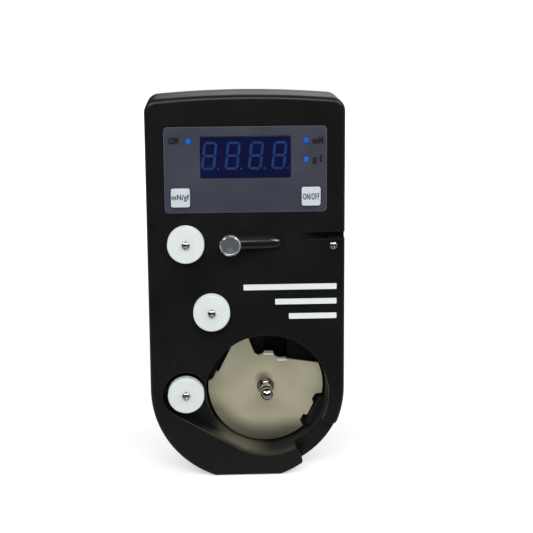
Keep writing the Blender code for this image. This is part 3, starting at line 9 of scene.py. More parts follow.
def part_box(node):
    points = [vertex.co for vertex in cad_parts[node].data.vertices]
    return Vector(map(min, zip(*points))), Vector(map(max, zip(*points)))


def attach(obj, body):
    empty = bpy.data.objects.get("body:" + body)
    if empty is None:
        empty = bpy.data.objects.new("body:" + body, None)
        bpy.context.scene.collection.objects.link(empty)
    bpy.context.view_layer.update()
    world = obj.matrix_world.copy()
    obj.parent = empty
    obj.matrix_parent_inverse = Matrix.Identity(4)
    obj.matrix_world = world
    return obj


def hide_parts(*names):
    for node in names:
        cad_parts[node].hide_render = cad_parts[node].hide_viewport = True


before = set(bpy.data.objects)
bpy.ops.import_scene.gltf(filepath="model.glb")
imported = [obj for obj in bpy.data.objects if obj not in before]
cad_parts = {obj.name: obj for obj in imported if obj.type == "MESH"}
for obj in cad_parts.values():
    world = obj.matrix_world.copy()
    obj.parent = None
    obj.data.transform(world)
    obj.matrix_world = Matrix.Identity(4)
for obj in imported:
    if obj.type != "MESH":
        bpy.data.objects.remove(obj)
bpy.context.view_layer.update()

# Every length below is in millimetres. x runs to the right, z up, and depth is counted
# from the face plane backwards, so a negative depth stands in front of the face.
mm = 0.001
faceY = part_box("front_cover")[0].y


def span(node):
    # middle and size of a CAD node, as (x, depth, z) in millimetres
    low, high = (np.array(corner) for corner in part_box(node))
    middle, size = (low + high) / 2, high - low
    middle[1] -= faceY
    return middle / mm, size / mm


def at(node):
    # x and z of a CAD node's middle
    return span(node)[0][[0, 2]]


def ends(node):
    # front and back depth of a CAD node
    middle, size = span(node)
    return middle[1] - size[1] / 2, middle[1] + size[1] / 2


# ---- outlines: arrays of (x, z)

def arc(x, z, radius, start, end, steps):
    # points on an arc, angles in degrees, both ends included
    turn = np.radians(np.linspace(start, end, steps + 1))
    return np.column_stack([x + radius * np.cos(turn), z + radius * np.sin(turn)])


def heading(angle):
    # unit vectors along a direction in degrees and across it
    turn = math.radians(angle)
    return np.array([[math.cos(turn), math.sin(turn)], [-math.sin(turn), math.cos(turn)]])


def circle(x, z, radius, steps):
    return arc(x, z, radius, 0, 360, steps)[:-1]


def rectangle(x, z, width, height):
    right, top = width / 2, height / 2
    return np.array([(x - right, z - top), (x + right, z - top), (x + right, z + top),
                     (x - right, z + top)])


def roundedBox(x, z, width, height, radius, steps=8):
    # rectangle round its centre with arcs of one radius at its corners
    right, top = width / 2 - radius, height / 2 - radius
    places = ((right, top), (-right, top), (-right, -top), (right, -top))
    return np.vstack([arc(x + side, z + rise, radius, 90 * k, 90 * k + 90, steps)
                      for k, (side, rise) in enumerate(places)])


def grown(outline, amount):
    # outline moved outwards: each point goes along the mitre of its two edges
    ahead = np.roll(outline, -1, 0) - outline
    ahead /= np.linalg.norm(ahead, axis=1)[:, None]
    behind = np.roll(ahead, 1, 0)
    out = np.column_stack([ahead[:, 1] + behind[:, 1], -ahead[:, 0] - behind[:, 0]])
    share = 1 + np.sum(ahead * behind, axis=1)
    return outline + amount * out / np.maximum(share, 0.35)[:, None]


housing = {"half": 33.0, "height": 131.0, "arcHeight": 31.02, "crown": 340.0, "corner": 4.5,
           "faceFillet": 1.7, "rearFillet": 2.4, "wall": 2.2, "rearWall": 2.0, "rib": 1.8,
           "parting": 17.0, "depth": 26.0, "gap": 0.15, "partingEdge": 0.22,
           "post": 2.9, "arcSteps": 90, "cornerSteps": 14, "crownSteps": 28, "filletSteps": 10}


def housingOutline(inset):
    # half-round bottom cut by the flat base, straight sides, round corners, crowned top
    h = housing
    bottom = h["half"] - inset
    low = math.degrees(math.asin((h["arcHeight"] - inset) / bottom))
    crownZ = h["height"] - h["crown"]
    cornerX = h["half"] - h["corner"]
    cornerZ = crownZ + math.sqrt((h["crown"] - h["corner"]) ** 2 - cornerX ** 2)
    turn = math.degrees(math.atan2(cornerZ - crownZ, cornerX))
    corner = max(h["corner"] - inset, 0.2)
    crown = arc(0, crownZ, h["crown"] - inset, turn, 180 - turn, h["crownSteps"])
    return np.vstack([
        arc(0, h["arcHeight"], bottom, -low, 0, h["arcSteps"]),
        arc(cornerX, cornerZ, corner, 0, turn, h["cornerSteps"]), crown[1:-1],
        arc(-cornerX, cornerZ, corner, 180 - turn, 180, h["cornerSteps"]),
        arc(0, h["arcHeight"], bottom, 180, 180 + low, h["arcSteps"])])


# ---- surfaces

def makePiece(name, points, faces):
    # points (n, 3) as x, depth, z
    place = np.array(points, float) * mm
    place[:, 1] += faceY
    mesh = bpy.data.meshes.new(name)
    mesh.from_pydata(place.tolist(), [], faces)
    made = bpy.data.objects.new(name, mesh)
    bpy.context.scene.collection.objects.link(made)
    outwards(made)
    return made


def outwards(piece):
    maker = bmesh.new()
    maker.from_mesh(piece.data)
    bmesh.ops.recalc_face_normals(maker, faces=maker.faces)
    maker.to_mesh(piece.data)
    maker.free()


def gridFaces(rows, columns):
    # quads of a grid whose columns close on themselves, row after row
    index = np.arange(rows * columns).reshape(rows, columns)
    after = np.roll(index, -1, 1)
    return np.stack([index[:-1], after[:-1], after[1:], index[1:]], -1).reshape(-1, 4).tolist()


def loft(name, rings):
    # rings (rows, columns, 3) joined row by row, with a flat cap on each end
    rings = np.array(rings)
    rows, columns = rings.shape[:2]
    faces = gridFaces(rows, columns)
    faces.append(list(range(columns))[::-1])
    faces.append(list(range((rows - 1) * columns, rows * columns)))
    return makePiece(name, rings.reshape(-1, 3), faces)


def ringAt(outline, depth):
    depths = np.broadcast_to(depth, len(outline))
    return np.column_stack([outline[:, 0], depths, outline[:, 1]])


def rounded(radius, steps):
    # quarter-round of a rim as (inset, depth) pairs, from its flat face to its side
    if not radius:
        return [(0, 0)]
    return [(radius * (1 - math.sin(a)), radius * (1 - math.cos(a)))
            for a in np.radians(np.linspace(0, 90, steps + 1))]


def prism(name, outline, front, back, edge=0.0, backEdge=0.0, steps=4):
    # outline carried from front to back, with a quarter-round of radius edge on its rims
    rings = [ringAt(grown(outline, -inset), front + deep) for inset, deep in rounded(edge, steps)]
    rings += [ringAt(grown(outline, -inset), back - deep)
              for inset, deep in reversed(rounded(backEdge, steps))]
    return loft(name, rings)


def spun(x, z, profile, steps):
    # every (radius, depth) of a profile carried round the depth axis at (x, z)
    turn = np.linspace(0, 2 * math.pi, steps, endpoint=False)
    return np.stack([x + profile[:, :1] * np.cos(turn), profile[:, 1:2] + 0 * turn,
                     z + profile[:, :1] * np.sin(turn)], -1).reshape(-1, 3)


def turned(name, x, z, profile, steps):
    # profile of (radius, depth) turned round the depth axis at (x, z); an end of radius
    # nought closes in one point
    profile = np.array(profile, float)
    body = profile[profile[:, 0] > 0]
    points = spun(x, z, body, steps)
    faces = gridFaces(len(body), steps)
    around = np.arange(steps)
    for end, first in ((0, 0), (-1, (len(body) - 1) * steps)):
        if profile[end, 0] > 0:
            faces.append((around + first).tolist())
        else:
            points = np.vstack([points, [x, profile[end, 1], z]])
            pole = np.full(steps, len(points) - 1)
            faces += np.stack([around + first, np.roll(around, -1) + first, pole], -1).tolist()
    return makePiece(name, points, faces)


def ringTurned(name, x, z, profile, steps):
    # closed profile loop turned round the depth axis: a body with a bore
    faces = np.array(gridFaces(len(profile) + 1, steps)) % (len(profile) * steps)
    return makePiece(name, spun(x, z, profile, steps), faces.tolist())


def quarter(radius, centreR, centreD, start, end, steps=6):
    # arc in a profile: (radius, depth) points round (centreR, centreD)
    turn = np.radians(np.linspace(start, end, steps + 1))
    return np.column_stack([centreR + radius * np.cos(turn), centreD - radius * np.sin(turn)])


def straight(name, outline, front, back):
    # outline carried from front to back, each one depth or one per point
    return loft(name, [ringAt(outline, front), ringAt(outline, back)])


def rod(name, x, z, radius, steps, front, back):
    return straight(name, circle(x, z, radius, steps), front, back)


def box(name, x, z, width, height, front, back):
    return straight(name, rectangle(x, z, width, height), front, back)


# a mouth's cutter begins this far in front of the face, and its rounded lip this much early
mouthShape = {"above": 0.9, "early": 0.02}


def flared(name, outlineAt, back, lip, steps=6, mouth=0.0, way=1, draft=0.0):
    # cutter whose mouth opens in a quarter-round, which leaves a rounded lip on the face;
    # outlineAt(growth) gives the outline, back its depth (a number or one per point); the
    # mouth is at the face, or with way -1 at the rear; draft narrows it towards its floor
    m = mouthShape
    rings = [ringAt(outlineAt(lip + m["above"]), mouth - way * m["above"])]
    rings += [ringAt(outlineAt(inset), mouth + way * (deep - m["early"]))
              for inset, deep in rounded(lip, steps)]
    rings.append(ringAt(outlineAt(-draft), back))
    return loft(name, rings)


def combine(target, tool, how):
    step = target.modifiers.new("step", "BOOLEAN")
    step.operation, step.solver, step.object = how, "EXACT", tool
    view = bpy.context.evaluated_depsgraph_get()
    mesh = bpy.data.meshes.new_from_object(target.evaluated_get(view))
    target.modifiers.clear()
    target.data = mesh
    bpy.data.objects.remove(tool)
    return target


def keepInside(piece, inset, back):
    # what lies within the housing's outline stays
    return combine(piece, straight("limit", housingOutline(inset), 0, back), "INTERSECT")


def add(target, *tools):
    for tool in tools:
        combine(target, tool, "UNION")
    return target


def cut(target, *tools):
    for tool in tools:
        combine(target, tool, "DIFFERENCE")
    return target


def soften(piece, width=0.0, angle=30):
    # rounded edges where width is given, then shading whose flats stay flat
    piece.data.shade_smooth()
    piece.data.set_sharp_from_angle(angle=math.radians(angle))
    if width:
        bevel = piece.modifiers.new("edges", "BEVEL")
        bevel.width = width * mm
        bevel.segments = 3
        bevel.limit_method = "ANGLE"
        bevel.angle_limit = math.radians(angle)
        bevel.miter_outer = "MITER_ARC"
    flat = piece.modifiers.new("flats", "WEIGHTED_NORMAL")
    flat.keep_sharp = True
    return piece


def settle(piece, look, body, slot, *nodes):
    # finish, body, record slot (not used) and the CAD nodes that the piece stands for
    piece.data.materials.clear()
    piece.data.materials.append(look.material)
    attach(piece, body)
    if nodes:
        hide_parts(*nodes)
    return piece


# ---- materials

def tone(red, green, blue):
    # colour as seen on a screen, 0 to 255, to the linear value that the shader takes
    seen = np.array([red, green, blue]) / 255
    return tuple(np.where(seen <= 0.04045, seen / 12.92, ((seen + 0.055) / 1.055) ** 2.4))


class Wire:
    # an output socket with arithmetic: each operation adds a Math node
    def __init__(self, nodes, socket):
        self.nodes, self.socket = nodes, socket

    def other(self, name):
        # another output of the same node
        return Wire(self.nodes, self.socket.node.outputs[name])

    def math(self, operation, first, second=0.0):
        return self.nodes.node("ShaderNodeMath", {"operation": operation}, {0: first, 1: second})

    def __add__(self, other):
        return self.math("ADD", self, other)

    __radd__ = __add__

    def __sub__(self, other):
        return self.math("SUBTRACT", self, other)

    def __rsub__(self, other):
        return self.math("SUBTRACT", other, self)

    def __mul__(self, other):
        return self.math("MULTIPLY", self, other)

    __rmul__ = __mul__

    def fit(self, low, high):
        # 0 at low, 1 at high, clamped between
        return self.nodes.node("ShaderNodeMapRange", {"clamp": True},
                               {"Value": self, "From Min": low, "From Max": high})


class Nodes:
    # a node tree that grows by one method
    def __init__(self, tree):
        self.tree = tree

    def feed(self, socket, value):
        if isinstance(value, Wire):
            self.tree.links.new(value.socket, socket)
        elif isinstance(value, tuple) and len(value) == 3 and socket.type == "RGBA":
            socket.default_value = (*value, 1)
        else:
            socket.default_value = value

    def node(self, kind, settings=None, sockets=None, out=0):
        made = self.tree.nodes.new(kind)
        for key, value in (settings or {}).items():
            setattr(made, key, value)
        for key, value in (sockets or {}).items():
            self.feed(made.inputs[key], value)
        return Wire(self, made.outputs[out])


class Look(Nodes):
    # one Principled material and the nodes that feed it
    inputs = {"color": "Base Color", "coat": "Coat Weight", "coatRoughness": "Coat Roughness",
              "specular": "Specular IOR Level", "emission": "Emission Color",
              "emissionStrength": "Emission Strength", "subsurface": "Subsurface Weight",
              "subsurfaceScale": "Subsurface Scale"}

    def __init__(self, name, **values):
        self.material = bpy.data.materials.new(name)
        self.material.use_nodes = True
        super().__init__(self.material.node_tree)
        self.shader = self.tree.nodes["Principled BSDF"]
        self.place = self.node("ShaderNodeTexCoord", out="Object")
        self.put(**values)

    def socket(self, key):
        return self.shader.inputs[self.inputs.get(key, key.capitalize())]

    def put(self, **values):
        for key, value in values.items():
            self.feed(self.socket(key), value)
        return self

    def fed(self, key):
        # what already feeds an input
        return Wire(self, self.socket(key).links[0].from_socket)

    def mix(self, factor, first, second):
        return self.node("ShaderNodeMix", {"data_type": "RGBA"},
                         {"Factor": factor, 6: first, 7: second}, out=2)

    def noise(self, size, detail=3.0, roughness=0.5, where=None):
        # noise whose lumps are about size millimetres wide
        return self.node("ShaderNodeTexNoise", None,
                         {"Vector": where or self.place, "Scale": 1 / (size * mm),
                          "Detail": detail, "Roughness": roughness})

    def vector(self, operation, *values, out=0):
        return self.node("ShaderNodeVectorMath", {"operation": operation},
                         dict(enumerate(values)), out)

    def stretched(self, x, y, z):
        # object coordinates scaled by axis, for a grain that runs one way
        return self.node("ShaderNodeMapping", None, {"Vector": self.place, "Scale": (x, y, z)})

    def split(self, place, name):
        return self.node("ShaderNodeSeparateXYZ", None, {0: place}, out=name)

    def axis(self, name):
        return self.split(self.place, name)

    def fromCentre(self, x, z):
        # object coordinates moved so that the depth axis at (x, z) is their middle
        return self.vector("ADD", self.place, (-x * mm, -faceY, -z * mm))

    def radius(self, x, z):
        # distance from the depth axis at (x, z), in metres
        flat = self.vector("MULTIPLY", self.fromCentre(x, z), (1.0, 0.0, 1.0))
        return self.vector("LENGTH", flat, out="Value")

    def bump(self, height, distance, strength=1.0):
        # height 0 to 1 over distance in millimetres
        return self.node("ShaderNodeBump", None, {"Height": height, "Distance": distance * mm,
                                                  "Strength": strength})


shellLook = {"color": tone(17, 17, 17), "lighter": tone(25, 25, 24), "roughness": 0.34,
             "grain": 0.16, "grainDepth": 0.0035, "dust": tone(96, 94, 90), "specular": 0.32}


def moulded(name, color, lighter, roughness, grain, grainDepth, dust=None, specular=0.5):
    # moulded plastic: fine spark-eroded grain, slow clouds in colour and gloss, dust specks
    look = Look(name, specular=specular)
    cloud = look.noise(14, 4).fit(0.35, 0.7)
    fine = look.noise(grain, 2, 0.6)
    base = look.mix(cloud * 0.6, color, lighter)
    if dust:
        speck = look.noise(1.1, 1).fit(0.77, 0.80) * look.noise(9, 2).fit(0.5, 0.62)
        base = look.mix(speck * 0.5, base, dust)
    scuff = look.noise(0.5, 2, 0.5, look.stretched(0.25, 1, 1)).fit(0.62, 0.8)
    return look.put(color=base, roughness=roughness - 0.03 + cloud * 0.05 + scuff * 0.05,
                    normal=look.bump(fine, grainDepth, 0.6))


shell = moulded("shellPlastic", **shellLook)


def metal(name, color, darker, roughness, streak=(1, 1, 1), size=0.3, depth=0.002):
    # plated metal: fine streaks in gloss and relief, faint stains in colour
    look = Look(name, metallic=1.0)
    lines = look.noise(size, 3, 0.6, look.stretched(*streak))
    stainAndShadow = look.noise(6, 4).fit(0.4, 0.75)
    return look.put(color=look.mix(stainAndShadow * 0.5, color, darker),
                    roughness=roughness - 0.05 + lines * 0.1 + stainAndShadow * 0.04,
                    normal=look.bump(lines, depth, 0.5))


steel = metal("nickelSteel", tone(214, 208, 198), tone(176, 168, 156), 0.17, size=0.2,
              depth=0.001)


def clouded(name, color, lighter, roughness, size, gloss, grain=None, detail=3, glow=0.0,
            **fixed):
    # two tones in slow clouds that also change the gloss; grain adds a fine relief of noise
    # (lump size, detail, roughness), depth and strength, and glow lets the tones shine
    look = Look(name, **fixed)
    cloud = look.noise(size, detail).fit(0.3, 0.7)
    shade = look.mix(cloud, color, lighter)
    look.put(color=shade, roughness=roughness + cloud * gloss)
    if grain:
        *lumps, depth, strength = grain
        look.put(normal=look.bump(look.noise(*lumps), depth, strength))
    if glow:
        look.put(emission=shade, emissionStrength=glow)
    return look


print("tools and base finishes ready")

# ---- front cover

cavity = {"x": 6.6, "z": 28.7, "radius": 21.2, "draft": 0.5, "draftEnd": 13.6, "floor": 14.9,
          "floorEdge": 0.5, "lip": 0.45, "steps": 256}
pocket = {"x": -21.0, "z": 29.4, "radius": 7.9, "depth": 5.0, "lip": 0.45, "steps": 128}
channel = {"end": 10.3, "lip": 0.45, "draft": 0.3}
cutOut = {"start": -62.5, "end": -26.0, "depth": 7.2, "rise": 3.0, "lip": 0.5, "corner": 2.2,
          "root": 12, "overshoot": 3, "reach": 26.4}
well = {"x": 10.2, "z": 42.0, "width": 8.0, "height": 7.0, "depth": 4.0}
slotCut = {"start": 17.5, "end": 36.0, "z": 84.0, "height": 2.2, "ramp": 12.0, "depth": 4.4,
           "lip": 0.35, "lipDepth": 0.5}
panelPlace = {"z": 106.4, "width": 53.8, "height": 28.6, "corner": 1.3, "gap": 0.2}
windowPlace = {"z": 110.6, "width": 29.6, "height": 13.6, "corner": 0.15, "front": 0.05,
               "back": 0.55, "edge": 0.08}
lampNodes = ("low_battery_lamp", "millinewton_lamp", "gram_force_lamp")
keyNodes = ("unit_key", "power_key")
seatedPulleys = ("upper_pulley", "sensing_pulley")
screwNodes = ["housing_screw_%d" % k for k in (1, 2, 3, 4)]
holes = {"front": -1, "back": 3.2, "lamp": 1.25, "key": 6.7, "displayRoom": 1.2, "screw": 1.1,
         "axles": (("upper_axle", 1.25), ("lower_axle", 1.25), ("sensing_axle", 2.2)),
         "axleBack": 8.9, "screwBack": 6.3, "armRoom": 0.02, "pulleyRoom": 0.5,
         "pulleyFloor": 0.3, "pulleyLip": 0.2, "panelFloor": 0.8, "panelLip": 0.12,
         "bladeSeat": (29.0, 81.75, 5.6, 9.6, 2.2, 3.3)}
retainers = {"places": ((-28.0, 11.0), (153.0, 9.0)), "inner": 18.5, "outer": 21.5,
             "front": 10.2, "back": 14.6, "edge": 0.25}
cavityAt = np.array([cavity["x"], cavity["z"]])
pocketAt = np.array([pocket["x"], pocket["z"]])
# the arm's bar runs on a little before its root and beyond its tip, where it gets thinner:
# girths are shares of its radius at places along it, 0 at the root and 1 at the tip
arm = {"rootX": 10.2, "rootZ": 81.85, "rootDepth": 0.35, "tipDepth": -3.05, "rootRadius": 2.1,
       "tipRadius": 2.25, "foot": 1.9, "footDepth": 5.0, "before": 0.13, "beyond": 0.14,
       "places": (-0.13, -0.115, -0.08, -0.03, 0.05, 0.16, 1, 1.1, 1.14),
       "girths": (0.15, 0.38, 0.6, 0.78, 0.93, 1, 1, 0.8, 0.35)}


def tangentLine():
    # the channel's lower wall touches the pocket's circle and the cavity's
    across = cavityAt - pocketAt
    lean = math.asin((cavity["radius"] - pocket["radius"]) / math.hypot(*across))
    normal = math.atan2(across[1], across[0]) - math.pi / 2 - lean
    side = np.array([math.cos(normal), math.sin(normal)])
    return pocketAt + pocket["radius"] * side, cavityAt + cavity["radius"] * side, side


def channelOutline(growth):
    start, end, side = tangentLine()
    steps = np.linspace(0, 1, 25)[:, None]
    lower = start + (end - start) * steps + side * growth
    return np.vstack([pocketAt, lower, cavityAt])


def channelFloor(growth, drop=0.0):
    # depth of the sloping floor under each point of the outline
    start, end, _ = tangentLine()
    run = end - start
    along = (channelOutline(growth) - start) @ run / (run @ run)
    return pocket["depth"] + (channel["end"] - pocket["depth"]) * along + drop


def cutOutOutline(growth):
    # sector round the cavity's centre whose sides turn into the housing's outline in arcs
    middle = np.array([0, housing["arcHeight"]])
    radius = cutOut["corner"]
    reach = housing["half"] - radius + 0.05
    sides = []
    for angle, way in ((cutOut["start"], -1), (cutOut["end"], 1)):
        along, into = heading(angle)
        into = way * into
        # the arc's hub lies one radius off the side, where a circle of that reach crosses it
        base = cavityAt + radius * into - middle
        b = base @ along
        s = -b + math.sqrt(b * b - base @ base + reach * reach)
        hub = cavityAt + s * along + radius * into
        first = math.degrees(math.atan2(*(-into)[::-1]))
        outer = hub - middle
        last = math.degrees(math.atan2(outer[1], outer[0]))
        swing = (last - first + 180) % 360 - 180
        bend = arc(*hub, radius - growth, first, first + swing, 10)
        root = cavityAt + cutOut["root"] * along + growth * into
        far = bend[-1] + outer / np.linalg.norm(outer) * cutOut["overshoot"]
        sides.append((root, bend, far))
    (lowRoot, lowBend, lowFar), (highRoot, highBend, highFar) = sides
    return np.vstack([lowRoot, lowBend, lowFar, highFar, highBend[::-1], highRoot])


def cutOutFloor(growth):
    # depth of the sloping floor under each point of the outline, deepest at the lower end
    c = cutOut
    across = heading((c["start"] + c["end"]) / 2)[1]
    aside = (cutOutOutline(growth) - cavityAt) @ across
    reach = c["reach"] * math.sin(math.radians(c["end"] - c["start"]) / 2)
    return c["depth"] - c["rise"] * (aside + reach) / (2 * reach)


def frontForm():
    # outside of the front shell: face, quarter-round rim, sides, small edge at the parting
    h = housing
    rings = [ringAt(housingOutline(inset), deep)
             for inset, deep in rounded(h["faceFillet"], h["filletSteps"])]
    back = h["parting"] - h["gap"]
    rings.append(ringAt(housingOutline(0), back - h["partingEdge"]))
    rings.append(ringAt(housingOutline(h["partingEdge"]), back))
    return loft("frontShell", rings)


def frontCover():
    h = housing
    cover = frontForm()
    wall, rib, inside = h["wall"], h["rib"], h["wall"] / 2
    floor = cavity["floor"]
    cut(cover, straight("hollow", housingOutline(wall), wall, h["depth"]))
    add(cover, rod("cup", *cavityAt, cavity["radius"] + rib, 128, inside, floor + rib))
    add(cover, straight("channelWall", channelOutline(rib), inside, channelFloor(rib, rib)))
    add(cover, rod("pocketWall", *pocketAt, pocket["radius"] + rib, 72, inside,
                   pocket["depth"] + rib))
    ledge = np.vstack([cavityAt, arc(*cavityAt, 60, cutOut["start"] - 4, cutOut["end"] + 4, 12)])
    sideBlock = straight("sideBlock", ledge, inside, cutOut["depth"] + rib)
    add(cover, keepInside(sideBlock, wall / 2, h["parting"]))
    reach = h["half"] - wall / 2 - slotCut["start"] + rib
    add(cover, box("slotWall", slotCut["start"] - rib + reach / 2, slotCut["z"], reach,
                   slotCut["height"] + 2 * rib, inside, slotCut["depth"] + rib))
    add(cover, box("wellWall", well["x"], well["z"], well["width"] + 2 * rib,
                   well["height"] + 2 * rib, floor + inside, floor + well["depth"] + rib))
    for node in screwNodes:
        post = rod("post", *at(node), h["post"], 40, inside, h["parting"] - 0.4)
        add(cover, keepInside(post, wall / 4, h["parting"]))
    openFace(cover)
    return cover


def drafted(name):
    # the cavity's cutter: rounded lip, then a wall that narrows a little towards its floor
    c, m = cavity, mouthShape
    narrow, edge = c["radius"] - c["draft"], c["floorEdge"]
    profile = [(0, -m["above"]), (c["radius"] + c["lip"] + m["above"], -m["above"])]
    profile += [(c["radius"] + inset, deep - m["early"]) for inset, deep in rounded(c["lip"], 6)]
    profile += [(narrow, c["draftEnd"]), (narrow, c["floor"] - edge), (narrow - edge, c["floor"]),
                (0, c["floor"])]
    return turned(name, c["x"], c["z"], profile, c["steps"])


def roundMouth(name, x, z, radius, steps, *rest):
    return flared(name, lambda growth: circle(x, z, radius + growth, steps), *rest)


def openFace(cover):
    # everything that is cut into the face, with rounded lips
    k, p, w = holes, panelPlace, windowPlace
    front, back = k["front"], k["back"]
    mouths = drafted("cavityMouth")
    add(mouths, flared("channelMouth", channelOutline, channelFloor(-channel["draft"]),
                       channel["lip"], draft=channel["draft"]))
    add(mouths, roundMouth("pocketMouth", *pocketAt, pocket["radius"], pocket["steps"],
                           pocket["depth"], pocket["lip"]))
    add(mouths, flared("cutOutMouth", cutOutOutline, cutOutFloor(0), cutOut["lip"]))
    cut(cover, mouths)
    cut(cover, box("well", well["x"], well["z"], well["width"], well["height"],
                   cavity["floor"] - 1, cavity["floor"] + well["depth"]))
    for node in seatedPulleys:
        cut(cover, roundMouth("pulleyPocket", *at(node), span(node)[1][0] / 2 + k["pulleyRoom"],
                              96, ends(node)[1] + k["pulleyFloor"], k["pulleyLip"]))
    cut(cover, flared("panelRecess", lambda growth: roundedBox(
        0, p["z"], p["width"] + 2 * (p["gap"] + growth), p["height"] + 2 * (p["gap"] + growth),
        p["corner"] + p["gap"] + growth, 10), k["panelFloor"], k["panelLip"], 3))
    cut(cover, box("displayOpening", 0, w["z"], w["width"] + k["displayRoom"],
                   w["height"] + k["displayRoom"], front, back))
    for node in lampNodes:
        cut(cover, rod("lampHole", *at(node), k["lamp"], 32, front, back))
    for node in keyNodes:
        cut(cover, box("keyHole", *at(node), k["key"], k["key"], front, back))
    for node, hole in k["axles"]:
        cut(cover, rod("axleHole", *at(node), hole, 36, front, k["axleBack"]))
    cutSlot(cover)
    cut(cover, box("bladeSeat", *k["bladeSeat"]))
    cut(cover, rod("cutterHole", *at("cutter_screw"), k["screw"], 32, front, k["screwBack"]))
    cut(cover, rod("armHole", arm["rootX"], arm["rootZ"], arm["foot"] + k["armRoom"], 40, front,
                   arm["footDepth"]))


def cutSlot(cover):
    # the cutter's slot: its floor ramps down to the open right end, its lower lip is bevelled
    s = slotCut
    start, end, deep = s["start"], s["end"], s["depth"]
    low, high = s["z"] - s["height"] / 2, s["z"] + s["height"] / 2
    side = np.array([(start, -1), (end, -1), (end, deep), (start + s["ramp"], deep),
                     (start + s["ramp"] * 0.5, deep * 0.5), (start, 0)])
    across, depth = side.T
    cut(cover, loft("slot", [np.column_stack([side, np.full(6, z)]) for z in (low, high)]))
    cut(cover, loft("slotLip", [
        np.column_stack([across - 0.5, np.minimum(depth, 0), np.full(6, low - s["lip"])]),
        np.column_stack([across, np.minimum(depth, s["lipDepth"]), np.full(6, low + 0.1)])]))


def retainer(angle, length):
    # rib on the cup's floor beside one of the plate's straight cuts
    r = retainers
    out, along = heading(angle)
    corners = np.array([cavityAt + away * out + way * length / 2 * along
                        for away, way in ((r["inner"], -1), (r["outer"], -1), (r["outer"], 1),
                                          (r["inner"], 1))])
    return prism("retainer", corners, r["front"], r["back"], r["edge"])


# paler grey and masks of the painted light on the cavity wall, and how much duller it gets
wallLook = {"paintedWallLight": tone(101, 100, 87), "floor": (0.0198, 0.0206), "lip": (0.0228, 0.0214),
            "deep": (1.0, 4.0), "left": (0.0078, -0.001), "low": (0.0175, 0.0115),
            "right": (-0.002, 0.010), "duller": 0.3}


def coverFinish():
    # the shells' plastic; down in the cavity the wall's lower left is painted a paler grey as
    # painted light, and it is duller towards the cut-out
    k = wallLook
    look = moulded("coverPlastic", **shellLook)
    away = look.radius(*cavityAt)
    wall = away.fit(*k["lip"]) * look.axis("Y").fit(*(faceY + d * mm for d in k["deep"]))
    low = look.axis("X").fit(*k["left"]) * look.axis("Z").fit(*k["low"])
    # painted light: the wall's lower left is mixed towards a paler grey
    paintedWallLight = wall * low * away.fit(*k["floor"])
    return look.put(color=look.mix(paintedWallLight * 0.9, look.fed("color"), k["paintedWallLight"]),
                    roughness=look.fed("roughness")
                    + wall * look.axis("X").fit(*k["right"]) * k["duller"])


cover = frontCover()
add(cover, *(retainer(*place) for place in retainers["places"]))
settle(soften(cover), coverFinish(), "housing", "black_shell", "front_cover")
print("front cover:", len(cover.data.polygons), "faces")

# ---- rear cover and battery door

rear = {"bayWidth": 48.8, "bayHeight": 22.5, "bayZ": 105.05, "bayDepth": 12.8, "bayRim": 3.4,
        "bayWall": 1.4, "recess": 23.9, "doorLow": 90.9, "shelf": 1.6, "tongue": 0.8,
        "tongueThickness": 0.7, "fit": 0.3, "wellRadius": 2.2, "headSeat": 22.95,
        "screwHole": 1.4, "lip": 0.3, "bayCorner": 0.6, "bayEdge": 0.4, "doorCorner": 0.4,
        "doorEdge": 0.35, "doorTop": 134.0, "scoops": (2, 3, 4), "scoopPitch": 2.2,
        "scoopSize": (16, 1.15, 0.45), "arrow": ((-2.2, 113.5), (2.2, 113.5), (0, 117.0)),
        "arrowDepth": 0.25}


def rearForm(front):
    # outside of the rear shell: small edge at the parting, sides, quarter-round rim
    h = housing
    rings = [ringAt(housingOutline(h["partingEdge"]), front),
             ringAt(housingOutline(0), front + h["partingEdge"])]
    rings += [ringAt(housingOutline(inset), h["depth"] - deep)
              for inset, deep in reversed(rounded(h["rearFillet"], h["filletSteps"]))]
    return loft("rearShell", rings)


def rearCover():
    h, r = housing, rear
    front = h["parting"] + h["gap"]
    inside = h["depth"] - h["rearWall"] / 2
    back = rearForm(front)
    cut(back, straight("hollow", housingOutline(h["wall"]), h["parting"] - 1,
                       h["depth"] - h["rearWall"]))
    for node in screwNodes:
        post = rod("post", *at(node), r["wellRadius"] + h["rib"], 48, front, inside)
        add(back, keepInside(post, h["wall"] / 4, h["depth"]))
    wide, high = r["bayWidth"] + 2 * r["bayRim"], r["bayHeight"] + 2 * r["bayWall"]
    add(back, box("bayWall", 0, r["bayZ"], wide, high, r["bayDepth"] - r["bayWall"], inside))
    bayTop = r["bayZ"] + high / 2
    rise = h["height"] - h["wall"] - bayTop
    shelf = box("shelf", 0, bayTop + rise / 2, wide, rise + h["wall"], r["recess"] - r["shelf"],
                inside)
    add(back, keepInside(shelf, h["wall"] / 2, h["depth"]))
    cut(back, prism("bay", roundedBox(0, r["bayZ"], r["bayWidth"], r["bayHeight"],
                                      r["bayCorner"]), r["bayDepth"], h["depth"] + 1,
                    r["bayEdge"]))
    low, top = r["doorLow"] - r["fit"], r["doorTop"]
    width = r["bayWidth"] + 4 * r["fit"]
    cut(back, flared("doorRecess", lambda growth: roundedBox(
        0, (low + top) / 2, width + 2 * growth, top - low + 2 * growth, 0.5 + growth),
        r["recess"], r["lip"], 4, h["depth"], -1))
    cut(back, box("tongueGroove", 0, (low + top) / 2, width + 2 * r["tongue"], top - low,
                  r["recess"], r["recess"] + r["tongueThickness"] + 2 * r["fit"]))
    for node in screwNodes:
        cut(back, roundMouth("screwWell", *at(node), r["wellRadius"], 48, r["headSeat"],
                             r["lip"], 4, h["depth"], -1))
        cut(back, rod("screwHole", *at(node), r["screwHole"], 32, h["parting"] - 1,
                      r["headSeat"] + 1))
    return back


